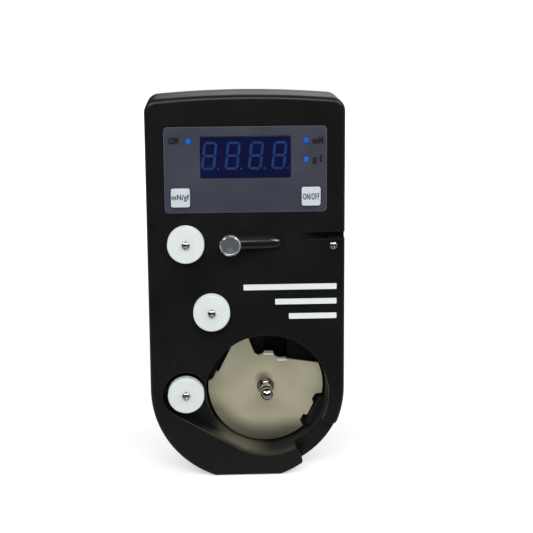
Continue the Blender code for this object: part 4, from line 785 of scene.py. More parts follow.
def scoop(x, z, width, height, depth):
    # shallow trough across the door, deepest in its middle, with pointed ends
    along = np.linspace(-1, 1, 25)
    turn = np.linspace(0, 2 * math.pi, 24, endpoint=False)
    girth = np.sqrt(np.maximum(1 - along ** 8, 0.004))
    rings = [np.column_stack([np.full(24, x + a * width / 2),
                              housing["depth"] + g * depth * np.cos(turn),
                              z + g * height / 2 * np.sin(turn)]) for a, g in zip(along, girth)]
    return loft("scoop", rings)


def batteryDoor():
    h, r = housing, rear
    front, low, top = r["recess"] + r["fit"], r["doorLow"], r["doorTop"]
    width, middle = r["bayWidth"] + 2 * r["fit"], (low + top) / 2
    door = prism("batteryDoor", roundedBox(0, middle, width, top - low, r["doorCorner"], 5),
                 front, h["depth"], 0, r["doorEdge"])
    add(door, box("tongues", 0, middle, width + 2 * r["tongue"], top - low, front,
                  front + r["tongueThickness"]))
    combine(door, rearForm(h["parting"]), "INTERSECT")
    for k in r["scoops"]:
        cut(door, scoop(0, low + k * r["scoopPitch"], *r["scoopSize"]))
    cut(door, prism("arrow", np.array(r["arrow"]), h["depth"] - r["arrowDepth"],
                    h["depth"] + 1))
    return door


settle(soften(rearCover()), shell, "housing", "black_shell", "rear_cover")
settle(soften(batteryDoor()), shell, "battery_door", "black_shell", "battery_door")
print("rear cover and door ready")

# ---- panel, window, lamps and keys

panelLook = {"color": tone(51, 55, 67), "lighter": tone(58, 62, 75), "rim": tone(92, 95, 108),
             "dust": tone(128, 130, 138), "roughness": 0.42, "grain": 0.10, "rimWidth": 0.32}


def panelFinish():
    # satin printed film: a painted highlight as a paler line along its edge, tiny dust specks,
    # fine even grain
    p, k = panelPlace, panelLook
    look = Look("printedPanel", specular=0.45)
    cloud = look.noise(11, 4).fit(0.35, 0.7)
    base = look.mix(cloud, k["color"], k["lighter"])
    # distance inside the straight edges, the smaller of the two
    across = look.split(look.fromCentre(0, p["z"]), "X")
    inside = [size / 2 * mm - side.math("ABSOLUTE", side)
              for size, side in ((p["width"], across), (p["height"], across.other("Z")))]
    # painted highlight: a paler line along the panel's edge
    rim = 1 - across.math("MINIMUM", *inside).fit(k["rimWidth"] * 0.6 * mm, k["rimWidth"] * mm)
    base = look.mix(rim * 0.35, base, k["rim"])
    speck = look.noise(0.9, 1).fit(0.79, 0.81) * look.noise(7, 2).fit(0.5, 0.6)
    fine = look.noise(k["grain"], 2, 0.6)
    return look.put(color=look.mix(speck * 0.7, base, k["dust"]),
                    roughness=k["roughness"] + cloud * 0.06 + fine * 0.04,
                    normal=look.bump(fine, 0.0015, 0.5))


panelShape = {"front": 0.05, "back": 0.5, "edge": 0.1, "windowRoom": 0.3, "lampHole": 1.08,
              "keyHole": 6.66, "keyCorner": 0.85}


def frontPanel():
    k, p, w = panelShape, panelPlace, windowPlace
    panel = prism("frontPanel", roundedBox(0, p["z"], p["width"], p["height"], p["corner"], 10),
                  k["front"], k["back"], k["edge"])
    cut(panel, box("windowHole", 0, w["z"], w["width"] + k["windowRoom"],
                   w["height"] + k["windowRoom"], -1, 2))
    for node in lampNodes:
        cut(panel, rod("lampHole", *at(node), k["lampHole"], 40, -1, 2))
    for node in keyNodes:
        cut(panel, prism("keyHole", roundedBox(*at(node), k["keyHole"], k["keyHole"],
                                               k["keyCorner"]), -1, 2))
    return panel


settle(soften(frontPanel()), panelFinish(), "housing", "grey_panel", "front_panel")

display = {"color": tone(3, 7, 50), "lighter": tone(6, 10, 57), "segment": tone(7, 43, 94),
           "segmentLight": tone(10, 52, 108), "digitHeight": 9.3, "digitWidth": 4.55,
           "stroke": 0.8, "pitch": 7.68, "firstX": -11.9, "middleZ": 111.1, "lean": 6.0,
           "gap": 0.24, "dot": 0.36, "dotAside": 1.0, "dotUp": 0.35, "front": 0.03,
           "back": 0.06}


def windowFinish():
    # dark blue pane; its fine cells change the gloss
    look = Look("blueWindow", specular=0.5, coat=0.6, coatRoughness=0.06)
    cloud, cell = look.noise(8, 3).fit(0.3, 0.7), look.noise(0.35, 2, 0.5)
    return look.put(color=look.mix(cloud, display["color"], display["lighter"]),
                    roughness=0.22 + cell * 0.08, normal=look.bump(cell, 0.0006, 0.4))


def windowPane():
    w = windowPlace
    return prism("windowPane", roundedBox(0, w["z"], w["width"], w["height"], w["corner"], 3),
                 w["front"], w["back"], w["edge"])


def segmentOutline(x, z, length, width, upright):
    # bar with pointed ends
    half, side = length / 2, width / 2
    bar = np.array([(-half, 0), (-half + side, -side), (half - side, -side), (half, 0),
                    (half - side, side), (-half + side, side)])
    return (bar[:, ::-1] if upright else bar) + (x, z)


def digitSegments():
    # four leaning eights with their points, as thin printed bars
    d = display
    lean = math.tan(math.radians(d["lean"]))
    high, wide, stroke, gap = d["digitHeight"], d["digitWidth"], d["stroke"], d["gap"]
    upper, across = high / 2 - stroke / 2, wide - stroke
    outlines = []
    for k in range(4):
        x = d["firstX"] + k * d["pitch"]
        outlines += [segmentOutline(x, d["middleZ"] + rise * upper, across - gap, stroke, False)
                     for rise in (-1, 0, 1)]
        outlines += [segmentOutline(x + side * across / 2, d["middleZ"] + rise * upper / 2,
                                    upper - gap, stroke, True)
                     for side in (-1, 1) for rise in (-1, 1)]
        outlines.append(circle(x + wide / 2 + d["dotAside"],
                               d["middleZ"] - high / 2 + d["dotUp"], d["dot"], 20))
    points, faces, start = [], [], 0
    for outline in outlines:
        count = len(outline)
        shifted = outline + np.column_stack([(outline[:, 1] - d["middleZ"]) * lean,
                                             np.zeros(count)])
        points += [ringAt(shifted, d["front"]), ringAt(shifted, d["back"])]
        near = np.arange(count) + start
        after = np.roll(near, -1)
        faces += np.stack([near, after, after + count, near + count], -1).tolist()
        faces += [near[::-1].tolist(), (near + count).tolist()]
        start += 2 * count
    return makePiece("digitSegments", np.vstack(points), faces)


settle(soften(windowPane()), windowFinish(), "housing", "blue_window", "display_window")
# the segments are unlit; their glow is a painted glow
segmentPaint = clouded("blueSegment", display["segment"], display["segmentLight"], 0.3, 2.5, 0.1,
                       glow=0.08, specular=0.5, coat=0.6, coatRoughness=0.06)
settle(digitSegments(), segmentPaint, "housing", "blue_window")

# a lens is a dome over a short neck, on a wider light pipe
lampShape = {"dome": 3.7, "front": -0.15, "rim": 0.12, "neck": 0.95, "shoulder": 2.5,
             "pipe": 1.4, "back": 7.85}
# the lamps are unlit; their glow is a painted glow
lampPaint = clouded("blueLamp", tone(4, 75, 178), tone(12, 91, 196), 0.3, 1.2, 0.08, glow=0.13,
                    specular=0.5, coat=0.4, coatRoughness=0.1)
k = lampShape
domed = quarter(k["dome"], 0, k["dome"] + k["front"], 90, 75.2, 5)
lampProfile = np.vstack([[0, k["front"]], domed[1:], [k["neck"], k["rim"]],
                         [k["neck"], k["shoulder"]], [k["pipe"], k["shoulder"]],
                         [k["pipe"], k["back"]]])
for node in lampNodes:
    lamp = turned(node.replace("_lamp", "Lamp"), *at(node), lampProfile, 40)
    settle(soften(lamp), lampPaint, "housing", "blue_lamp", node)

keyShape = {"width": 6.3, "corner": 0.7, "front": -0.5, "back": 3.3, "edge": 0.28,
            "flange": 7.9, "flangeFront": 2.5, "inkDepth": -0.49}


def inkFinish(name, color, lighter, roughness):
    return clouded(name, color, lighter, roughness, 0.6, 0.08, (0.12, 2, 0.5, 0.001, 0.4),
                   specular=0.4)


# printed ink: how thick it is, how far apart in depth the copies that make it bolder lie,
# and the depth and weight of the panel's labels
ink = {"thickness": 0.03, "apart": 0.003, "labelDepth": 0.06, "labelWeight": 0.2}


def lettering(name, words, x, z, width, height, depth, weight, spread):
    # words as thin printed bars of ink, fitted to a width and height round (x, z), and made
    # bolder by copies moved by weight millimetres to each side, and half of it up and down;
    # spread is the pitch of its letters, as a share of the font's own
    curve = bpy.data.curves.new(name, "FONT")
    curve.body, curve.size, curve.resolution_u = words, 1.0, 8
    curve.space_character = spread
    writer = bpy.data.objects.new(name + "Curve", curve)
    bpy.context.scene.collection.objects.link(writer)
    view = bpy.context.evaluated_depsgraph_get()
    flat = bpy.data.meshes.new_from_object(writer.evaluated_get(view))
    bpy.data.objects.remove(writer)
    points = np.array([vertex.co[:2] for vertex in flat.vertices])
    low, high = points.min(0), points.max(0)
    share = (points - (low + high) / 2) / (high - low)
    # back and front of a bar are the flat letters, and its sides stand on their rim, the edges
    # that only one face has
    count = len(points)
    bar = [list(face.vertices) for face in flat.polygons]
    bar += [[vertex + count for vertex in face] for face in bar]
    edges = [edge for face in flat.polygons for edge in face.edge_keys]
    bar += [[a, b, b + count, a + count] for a, b in edges if edges.count((a, b)) == 1]
    faces, places = [], []
    for k, (aside, up) in enumerate(((0, 0), (-1, 0), (1, 0), (0, -0.5), (0, 0.5))):
        faces += [[vertex + 2 * k * count for vertex in face] for face in bar]
        outline = np.column_stack([x + share[:, 0] * (width - 2 * weight) + aside * weight,
                                   z + share[:, 1] * (height - weight) + up * weight])
        places += [ringAt(outline, depth - rise * ink["thickness"] + (k - 2) * ink["apart"])
                   for rise in (0, 1)]
    return makePiece(name, np.vstack(places), faces)


keyPaint = clouded("whiteKey", tone(191, 200, 205), tone(198, 206, 212), 0.34, 3.5, 0.05,
                   (0.09, 2, 0.6, 0.0012, 0.5), specular=0.5)
keyInk = inkFinish("darkInk", tone(30, 32, 38), tone(54, 56, 62), 0.5)
panelInk = inkFinish("panelInk", tone(10, 10, 14), tone(16, 16, 20), 0.6)
# words with their width, height, weight and letter pitch
legends = {"unit_key": ("mN/gf", 5.8, 2.4, 0.08, 1.12),
           "power_key": ("ON/OFF", 5.5, 2.1, 0.06, 1.2)}
k = keyShape
for node, (words, *sizes) in legends.items():
    cap = prism(node.replace("_key", "Key"), roundedBox(*at(node), k["width"], k["width"],
                                                        k["corner"]),
                k["front"], k["back"], k["edge"])
    add(cap, box("flange", *at(node), k["flange"], k["flange"], k["flangeFront"], k["back"]))
    settle(soften(cap), keyPaint, node, "white_key", node)
    wide, high, weight, spread = sizes
    legend = lettering(node.replace("_key", "Legend"), words, *at(node), wide, high,
                       k["inkDepth"], weight, spread)
    settle(legend, keyInk, node, "white_key")
# words with their x, z, width, height and letter pitch
labels = {"labelLow": ("LOW", -23.5, 116.2, 3.7, 2.4, 1.2),
          "labelNewton": ("mN", 23.85, 115.9, 3.6, 2.4, 1.2),
          "labelGram": ("g f", 23.75, 109.5, 3.6, 3.0, 1.0)}
for name, (words, x, z, wide, high, spread) in labels.items():
    label = lettering(name, words, x, z, wide, high, ink["labelDepth"], ink["labelWeight"],
                      spread)
    settle(label, panelInk, "housing", "grey_panel")
print("panel, window, lamps and keys ready")

# ---- plain bars on the face

bars = {"right": 30.2, "rows": ((66.65, 31.3), (61.6, 20.7), (56.55, 16.1)), "height": 1.95,
        "corner": 0.25, "front": -0.03, "back": 0.03, "edge": 0.01}
barInk = inkFinish("whiteInk", tone(216, 222, 221), tone(224, 229, 228), 0.42)
for k, (z, wide) in enumerate(bars["rows"], 1):
    outline = roundedBox(bars["right"] - wide / 2, z, wide, bars["height"], bars["corner"], 4)
    bar = prism("faceBar%d" % k, outline, bars["front"], bars["back"], bars["edge"])
    settle(soften(bar), barInk, "housing", "white_key")

# ---- pulleys, axles and their screws' heads

pulley = {"radius": 6.15, "width": 4.2, "flange": 1.0, "groove": 1.8, "bore": 1.25,
          "edge": 0.4, "boreEdge": 0.12, "innerEdge": 0.15, "root": 0.3, "line": 5.6,
          "lineWidth": 0.1, "lineDepth": 0.07, "steps": 128}


def makePulley(name, x, z, front):
    # grooved wheel with a bore and a fine turned line in its front
    p = pulley
    back, radius, edge, bore = front + p["width"], p["radius"], p["edge"], p["bore"]
    innerFront, innerBack = front + p["flange"], back - p["flange"]
    slope, floor = (innerBack - innerFront) / 3, radius - p["groove"] + p["root"]
    half, small, inner = p["lineWidth"], p["boreEdge"], p["innerEdge"]
    profile = np.vstack([
        [[bore, front + small], [bore + small, front], [p["line"] - half, front],
         [p["line"], front + p["lineDepth"]], [p["line"] + half, front]],
        quarter(edge, radius - edge, front + edge, 90, 0, 5),
        quarter(inner, radius - inner, innerFront - inner, 0, -80, 3),
        quarter(p["root"], floor, innerFront + slope, 150, 180, 3),
        quarter(p["root"], floor, innerBack - slope, 180, 210, 3),
        quarter(inner, radius - inner, innerBack + inner, 80, 0, 3),
        quarter(edge, radius - edge, back - edge, 0, -90, 5),
        [[bore + small, back], [bore, back - small]]])
    return ringTurned(name, x, z, profile, p["steps"])


head = {"radius": 1.4, "height": 0.8, "recess": 0.85, "arm": 0.26, "recessDepth": 0.5,
        "seat": -0.3, "axleShank": 0.95, "cutterShank": 0.8, "cutterEnd": 6.0}


def domedScrew(name, x, z, seat, shank, end):
    # round-headed screw seen from the front: dome, small rim, shank, cross recess
    radius, front = head["radius"], seat - head["height"]
    profile = [(0, front)]
    profile += [(radius * math.cos(a) ** 0.9, seat - head["height"] * math.sin(a))
                for a in np.radians(np.linspace(82, 12, 9))]
    profile += [(radius, seat - 0.1), (radius - 0.06, seat), (shank, seat), (shank, end - 0.3),
                (shank - 0.25, end)]
    screw = turned(name, x, z, profile, 48)
    return cross(screw, x, z, front, head["recess"], head["arm"], head["recessDepth"])


def cross(screw, x, z, front, reach, half, depth, way=1):
    # tapered cross recess: an X of two wedges, narrower at its bottom
    for angle in (20, 110):
        along, across = heading(angle)
        rings = []
        for share, d in ((1.25, front - way * 0.3), (1.0, front + way * 0.1),
                         (0.42, front + way * depth)):
            corners = [left * along * reach * share + up * across * half * (0.4 + 0.6 * share)
                       for left, up in ((-1, -1), (1, -1), (1, 1), (-1, 1))]
            rings.append(ringAt(np.array(corners) + (x, z), d))
        cut(screw, loft("recess", rings))
    return screw


# white acetal, which lets a little light in
pulleyPaint = clouded("whiteAcetal", tone(210, 217, 217), tone(217, 223, 223), 0.36, 5, 0.06,
                      (0.12, 2, 0.6, 0.0012, 0.5), specular=0.5, subsurface=0.08,
                      subsurfaceScale=0.0015)
for place in ("upper", "sensing", "lower"):
    node, axle = place + "_pulley", place + "_axle"
    front = ends(node)[0]
    wheel = makePulley(place + "Pulley", *at(node), front)
    settle(soften(wheel, angle=24), pulleyPaint, node, "white_pulley", node)
    pin = domedScrew(place + "Axle", *at(node), front + head["seat"], head["axleShank"],
                     ends(axle)[1])
    settle(soften(pin), steel, "housing", "bright_steel", axle)
cutterScrew = domedScrew("cutterScrew", *at("cutter_screw"), head["seat"], head["cutterShank"],
                         head["cutterEnd"])
settle(soften(cutterScrew), steel, "housing", "bright_steel", "cutter_screw")
print("pulleys and axles ready")

# ---- thread guide: cap and arm

capShape = {"x": -5.5, "z": 82.4, "radius": 3.45, "front": -8.0, "thickness": 2.0,
            "chamfer": 0.42, "stem": 1.0, "stemLength": 2.2, "stemHole": 1.25,
            "stemHoleBack": -3.4, "dish": 0.06, "metallic": 0.9,
            "color": tone(165, 172, 176), "bright": tone(216, 221, 224),
            "rim": tone(238, 241, 243)}


def capFinish():
    # lathe-turned aluminium: fine rings round the cap's own middle
    c = capShape
    look = Look("turnedAluminium", metallic=c["metallic"])
    away = look.radius(c["x"], c["z"])
    rings = away.math("SINE", away * (2 * math.pi / (0.11 * mm)))
    # painted bow-tie sheen of a turned face, put into the colour: share of the height in the
    # distance from the middle
    up = look.split(look.fromCentre(c["x"], c["z"]), "Z")
    share = away.math("DIVIDE", up, away + 0.0001)
    sheen = share.fit(-0.55, -1.0) * 0.8 + look.noise(0.9, 3).fit(0.3, 0.7) * 0.12
    # the chamfer round the face is polished, and a painted highlight gives it a paler tone
    rim = away.fit((c["radius"] - c["chamfer"] - 0.12) * mm, (c["radius"] - c["chamfer"]) * mm)
    face = look.mix(sheen, c["color"], c["bright"])
    return look.put(color=look.mix(rim, face, c["rim"]),
                    roughness=0.34 + look.noise(0.25, 2) * 0.08 - rim * 0.2,
                    normal=look.bump(rings * 0.5 + 0.5, 0.0016, 1.0))


def guideCap():
    # dished face, polished chamfer, rim and the stem behind it
    c = capShape
    front, radius, stem = c["front"], c["radius"], c["stem"]
    inner, chamfer, back = radius - c["chamfer"], front + c["chamfer"], front + c["thickness"]
    profile = [(0, front + c["dish"]), (inner - 0.25, front + c["dish"]), (inner - 0.12, front),
               (inner, front + 0.02), (radius - 0.05, chamfer - 0.03), (radius, chamfer + 0.05),
               (radius, back - 0.15), (radius - 0.15, back), (stem, back),
               (stem, back + c["stemLength"])]
    return turned("guideCap", c["x"], c["z"], profile, 128)


settle(soften(guideCap(), angle=20), capFinish(), "housing", "turned_alloy", "thread_guide_cap")


def guideArm():
    # tapered round bar from under the cap down into the face, cut off along the face
    a = arm
    root = np.array([a["rootX"], a["rootDepth"], a["rootZ"]])
    tip = np.array([capShape["x"], a["tipDepth"], capShape["z"]])
    run = tip - root
    side = np.array([-run[1], run[0], 0]) / math.hypot(*run)
    start, end = np.linspace(0, math.pi / 2, 9), np.linspace(0.1, math.pi / 2, 9)
    shares = np.concatenate([-a["before"] + a["before"] * (1 - np.cos(start)),
                             np.linspace(0.04, 1.0, 20), 1 + a["beyond"] * np.sin(end)])
    radius = np.interp(shares, a["places"], a["girths"])
    radius *= np.interp(shares, [0, 1], [a["rootRadius"], a["tipRadius"]])
    turn = np.linspace(0, 2 * math.pi, 64, endpoint=False)
    rings = [root + share * run + r * (np.cos(turn)[:, None] * side
                                       + np.sin(turn)[:, None] * [0, 0, 1])
             for share, r in zip(shares, radius)]
    bar = loft("guideArm", rings)
    cut(bar, box("faceLimit", a["rootX"], a["rootZ"], 70, 70, 0.02, 26))
    add(bar, rod("foot", a["rootX"], a["rootZ"], a["foot"] - 0.02, 40, -0.9, a["footDepth"]))
    return cut(bar, rod("stemHole", capShape["x"], capShape["z"], capShape["stemHole"], 32,
                        capShape["front"], capShape["stemHoleBack"]))


armPaint = moulded("armPlastic", tone(17, 17, 17), tone(22, 22, 22), 0.15, 0.2, 0.0006,
                  specular=0.9)
settle(soften(guideArm()), armPaint, "housing", "black_shell", "thread_guide_arm")
print("thread guide ready")

# ---- cutter blade

bladeShape = {"front": 2.5, "back": 3.0, "edge": 0.08, "tip": 2.0, "hole": (29.0, 80.6, 1.1, 32)}
middle, size = span("cutter_blade")
left, _, low = middle - size / 2
right, _, high = middle + size / 2
bladeOutline = np.array([(left, low), (right, low), (right, high),
                         (right - bladeShape["tip"], high),
                         (left, slotCut["z"] - slotCut["height"])])
blade = prism("cutterBlade", bladeOutline, bladeShape["front"], bladeShape["back"],
              bladeShape["edge"])
cut(blade, rod("hole", *bladeShape["hole"], 2, 4))
# the blade gets a dark steel tone, to match the black of its slot
bladePaint = metal("blackenedSteel", tone(70, 70, 72), tone(52, 52, 54), 0.3, size=0.2,
                   depth=0.001)
settle(soften(blade), bladePaint, "housing", "bright_steel", "cutter_blade")

# ---- plate and spindle

plateShape = {"radius": 20.0, "front": 12.6, "thickness": 1.0, "edge": 0.14, "hole": 1.6,
              "lugHeight": 0.9, "lugWidth": 3.4, "lugThickness": 0.95, "lugEdge": 0.08,
              "lugs": ((0.055, 0.57), (0.285, 0.455)),
              "arcs": ((-9.5, 22.8), (109.6, 121.0), (174.3, 310.4)),
              "cuts": (((0.365, 0.47), (0.36, 0.495), (0.21, 0.495), (0.205, 0.515), (0.16, 0.515),
                        (0.135, 0.615), (-0.025, 0.615), (-0.033, 0.58), (-0.12, 0.535),
                        (-0.19, 0.58), (-0.29, 0.835)),
                       ((-0.525, 0.835), (-0.815, 0.26), (-0.858, 0.268), (-0.92, 0.135)),
                       ((0.655, -0.76), (0.6, -0.65), (0.66, -0.54), (0.725, -0.565),
                        (0.84, -0.33), (0.81, -0.2725), (0.875, -0.17))),
              "metallic": 0.6, "color": tone(234, 229, 197), "darker": tone(224, 217, 185),
              "paintedUpperLight": tone(250, 246, 214), "shaded": tone(92, 88, 73)}
# where the plate's painted shade and painted light change, from none to full: heights, tilted ones
# and distances
plateTones = {"low": (0.0175, 0.0085), "tilt": 0.3, "under": (0.0231, 0.0175),
              "lowerRim": (0.0135, 0.0180), "upperTilt": 0.15, "upper": (0.0295, 0.0375),
              "upperRim": (0.0105, 0.0175), "paintedShadowAt": (5.9, 31.0), "stainAndShadow": (0.0034, 0.0012)}


def plateFinish():
    # matt nickel-plated sheet: champagne tint, fine rolled grain, faint stains
    p, k = plateShape, plateTones
    look = Look("nickelPlate")
    stainAndShadow = look.noise(7, 4).fit(0.35, 0.7)
    grain = look.noise(0.07, 3, 0.6)
    rolled = look.noise(0.3, 3, 0.6, look.stretched(1, 1, 0.12))
    across, up, away = look.axis("X"), look.axis("Z"), look.radius(*cavityAt)
    # painted shade: darker towards the lower edge, and most along its rim at the lower left
    under = (up + across * k["tilt"]).fit(*k["under"])
    rim = away.fit(*k["lowerRim"]) * under * 0.62
    paintedShade = 1 - (1 - up.fit(*k["low"]) * 0.9) * (1 - rim)
    # painted light: paler and less like a mirror along its upper rim, and a painted shadow above
    # the spindle's root
    high = away.fit(*k["upperRim"]) * (up + across * k["upperTilt"]).fit(*k["upper"])
    # painted shadow: a dark spot on the plate above the spindle's root
    paintedShadow = look.radius(*k["paintedShadowAt"]).fit(*k["stainAndShadow"])
    sheet = look.mix(stainAndShadow * 0.6, p["color"], p["darker"])
    sheet = look.mix(high * 0.7, sheet, p["paintedUpperLight"])
    sheet = look.mix(paintedShadow * 0.7, sheet, p["shaded"])
    return look.put(color=look.mix(paintedShade, sheet, p["shaded"]),
                    metallic=p["metallic"] - high * 0.44,
                    roughness=0.4 + grain * 0.1 + stainAndShadow * 0.04,
                    normal=look.bump(grain * 0.7 + rolled * 0.3, 0.003, 0.7))


def softCorner(before, corner, after, radius):
    # a corner of an outline turned into a small curve
    reachIn = (before - corner) / np.linalg.norm(before - corner)
    reachOut = (after - corner) / np.linalg.norm(after - corner)
    share = np.linspace(0, 1, 5)[:, None]
    start, end = corner + reachIn * radius, corner + reachOut * radius
    return (1 - share) ** 2 * start + 2 * share * (1 - share) * corner + share ** 2 * end


def plateOutline():
    # arcs of the rim and the cuts between them, with small curves at the cuts' corners
    p = plateShape
    points = []
    for (start, end), shares in zip(p["arcs"], p["cuts"]):
        points.append(arc(*cavityAt, p["radius"], start, end, int(abs(end - start) // 3) + 1))
        points.append(cavityAt + p["radius"] * np.array(shares))
    rough = np.vstack(points)
    smooth = []
    for before, corner, after in zip(np.roll(rough, 1, 0), rough, np.roll(rough, -1, 0)):
        lengths = np.linalg.norm(before - corner), np.linalg.norm(after - corner)
        bend = (corner - before) @ (after - corner) / (lengths[0] * lengths[1])
        smooth.append(corner[None] if bend > 0.99 else
                      softCorner(before, corner, after, min(0.45, min(lengths) * 0.4)))
    return np.vstack(smooth)


def casePlate():
    p = plateShape
    back = p["front"] + p["thickness"]
    plate = prism("casePlate", plateOutline(), p["front"], back)
    return cut(plate, rod("studHole", *cavityAt, p["hole"], 48, p["front"] - 2, back + 1))


def plateLug(name, across, up):
    # strip bent forwards out of the plate, with a round end
    p = plateShape
    x, z = cavityAt + p["radius"] * np.array([across, up])
    half, reach = p["lugThickness"] / 2, p["front"] - p["lugHeight"]
    turn, foot = np.radians(np.linspace(0, 180, 13)), p["front"] + 0.4
    bend = np.column_stack([reach + half - half * np.sin(turn), z - half * np.cos(turn)])
    side = np.vstack([[foot, z - half], bend, [foot, z + half]])
    return loft(name, [np.column_stack([np.full(len(side), x + s * p["lugWidth"] / 2), side])
                       for s in (-1, 1)])


settle(soften(casePlate(), plateShape["edge"]), plateFinish(), "housing", "plate_steel",
       "bobbin_case_plate")
lugPaint = metal("lugSteel", tone(252, 250, 241), tone(241, 238, 226), 0.42, size=0.2,
                 depth=0.001).put(metallic=0.3)
for k, place in enumerate(plateShape["lugs"], 1):
    lug = plateLug("plateLug%d" % k, *place)
    settle(soften(lug, plateShape["lugEdge"]), lugPaint, "housing", "plate_steel")

spindleShape = {"ballDepth": 2.0, "ball": 2.2, "neck": 1.5, "neckBack": 4.3, "shaft": 2.02,
                "shaftFront": 5.0, "groove": 0.16, "grooveFront": 9.6, "grooveBack": 10.2,
                "collar": 2.95, "collarFront": 11.4, "collarBack": 12.3, "collarEdge": 0.14,
                "stud": 1.3, "studEdge": 0.3}


def spindle():
    # ball tip, neck, shaft with a groove, collar and stud
    s = spindleShape
    shaft, narrow, edge = s["shaft"], s["shaft"] - s["groove"], s["collarEdge"]
    neck = math.degrees(math.acos(s["neck"] / s["ball"]))
    end = ends("spindle")[1]
    profile = np.vstack([
        [0, s["ballDepth"] - s["ball"]], quarter(s["ball"], 0, s["ballDepth"], 86, -neck, 20),
        [[s["neck"], s["neckBack"]], [shaft - 0.12, s["shaftFront"] - 0.15],
         [shaft, s["shaftFront"]], [shaft, s["grooveFront"]], [narrow, s["grooveFront"] + 0.1],
         [narrow, s["grooveBack"] - 0.1], [shaft, s["grooveBack"]], [shaft, s["collarFront"]],
         [s["collar"] - edge, s["collarFront"]], [s["collar"], s["collarFront"] + edge],
         [s["collar"], s["collarBack"]], [s["stud"], s["collarBack"]],
         [s["stud"], end - s["studEdge"]], [s["stud"] - s["studEdge"], end]]])
    return turned("spindlePost", *cavityAt, profile, 96)


polished = metal("polishedSteel", tone(222, 216, 204), tone(196, 190, 176), 0.1, size=0.15,
                 depth=0.0006)
settle(soften(spindle()), polished, "housing", "bright_steel", "spindle")
print("plate and spindle ready")

# ---- screws of the rear

rearScrew = {"headLength": 1.5, "head": 1.9, "shank": 1.1, "tip": 0.7, "tipLength": 0.9,
             "round": 0.45, "recess": (1.15, 0.28, 0.8)}


def housingScrew(name, x, z, tip, end):
    k, r = rearScrew, rearScrew["round"]
    seat = end - k["headLength"]
    profile = np.vstack([
        [[0, tip], [k["tip"], tip + 0.1], [k["shank"], tip + k["tipLength"]], [k["shank"], seat],
         [k["head"] - 0.06, seat], [k["head"], seat + 0.1]],
        quarter(r, k["head"] - r, end - r, 0, -80, 5), [0, end]])
    return cross(turned(name, x, z, profile, 48), x, z, end, *k["recess"], -1)


for node in screwNodes:
    screw = housingScrew(node.replace("_screw_", "Screw"), *at(node), *ends(node))
    settle(soften(screw), steel, "housing", "bright_steel", node)

# ---- inside: pieces that keep their CAD meshes


def dress(look, *nodes):
    for node in nodes:
        piece = bpy.data.objects[node]
        for slot in piece.material_slots:
            slot.material = look.material
        if not piece.material_slots:
            piece.data.materials.append(look.material)


# name, tones, roughness, size and depth of the grain, metallic and the nodes it is for
insideLooks = (
    ("boardGreen", (22, 84, 52), (30, 98, 62), 0.4, 0.3, 0.003, 0.0, ("main_board",)),
    ("chipBlack", (22, 22, 24), (30, 30, 32), 0.5, 0.3, 0.003, 0.0,
     ("controller_chip", "unit_plunger", "power_plunger")),
    ("moduleGrey", (58, 60, 64), (68, 70, 74), 0.5, 0.3, 0.003, 0.0,
     ("display_module", "unit_switch", "power_switch")),
    ("milledAlloy", (196, 198, 200), (206, 208, 210), 0.34, 0.2, 0.004, 1.0, ("load_cell",)),
    ("contactNickel", (206, 202, 192), (190, 184, 172), 0.26, 0.3, 0.002, 1.0,
     ("flat_contact_1", "flat_contact_2", "spring_contact_1", "spring_contact_2")),
    ("cellJacket", (52, 78, 112), (60, 88, 124), 0.34, 0.3, 0.003, 0.0,
     ("battery_1", "battery_2")))
for name, color, lighter, roughness, size, depth, metallic, nodes in insideLooks:
    dress(clouded(name, tone(*color), tone(*lighter), roughness, 4, 0.08,
                  (size, 3, 0.6, depth, 0.6), 4, metallic=metallic), *nodes)
dress(steel, "board_screw_1", "board_screw_2", "board_screw_3", "board_screw_4",
      "load_cell_screw_1", "load_cell_screw_2", "spindle_nut")
print("inner pieces dressed")

# ---- camera, floor and light

view = {"place": (-0.01326, -0.45595, 0.16862), "pitch": 11.973, "yaw": 2.552, "roll": -0.392,
        "lens": 92.40, "sensor": 36.0}


def makeCamera():
    data = bpy.data.cameras.new("photoCamera")
    data.lens, data.sensor_width, data.clip_start = view["lens"], view["sensor"], 0.01
    camera = bpy.data.objects.new("photoCamera", data)
    bpy.context.scene.collection.objects.link(camera)
    pitch, yaw, roll = (math.radians(view[key]) for key in ("pitch", "yaw", "roll"))
    ahead = Vector((math.sin(yaw) * math.cos(pitch), math.cos(yaw) * math.cos(pitch),
                    -math.sin(pitch)))
    right = ahead.cross(Vector((0, 0, 1))).normalized()
    up = right.cross(ahead)
    axes = Matrix((right * math.cos(roll) + up * math.sin(roll),
                   up * math.cos(roll) - right * math.sin(roll), -ahead)).transposed()
    camera.matrix_world = Matrix.Translation(Vector(view["place"])) @ axes.to_4x4()
    bpy.context.scene.camera = camera


light = {"softboxes": (((-0.65, -0.35, 0.75), 2.8, 0.4, 0.4), ((0.65, -0.3, 0.7), 2.8, 0.4, 0.4),
                       ((0.0, -0.76, 0.70), 5.9, 0.9, 0.42)), "aim": (0, 0, 0.065),
         "soft": 0.345, "dark": 0.05, "bright": 0.66, "room": 0.45, "left": 0.02,
         "leftEnds": (-0.16, 0.04)}


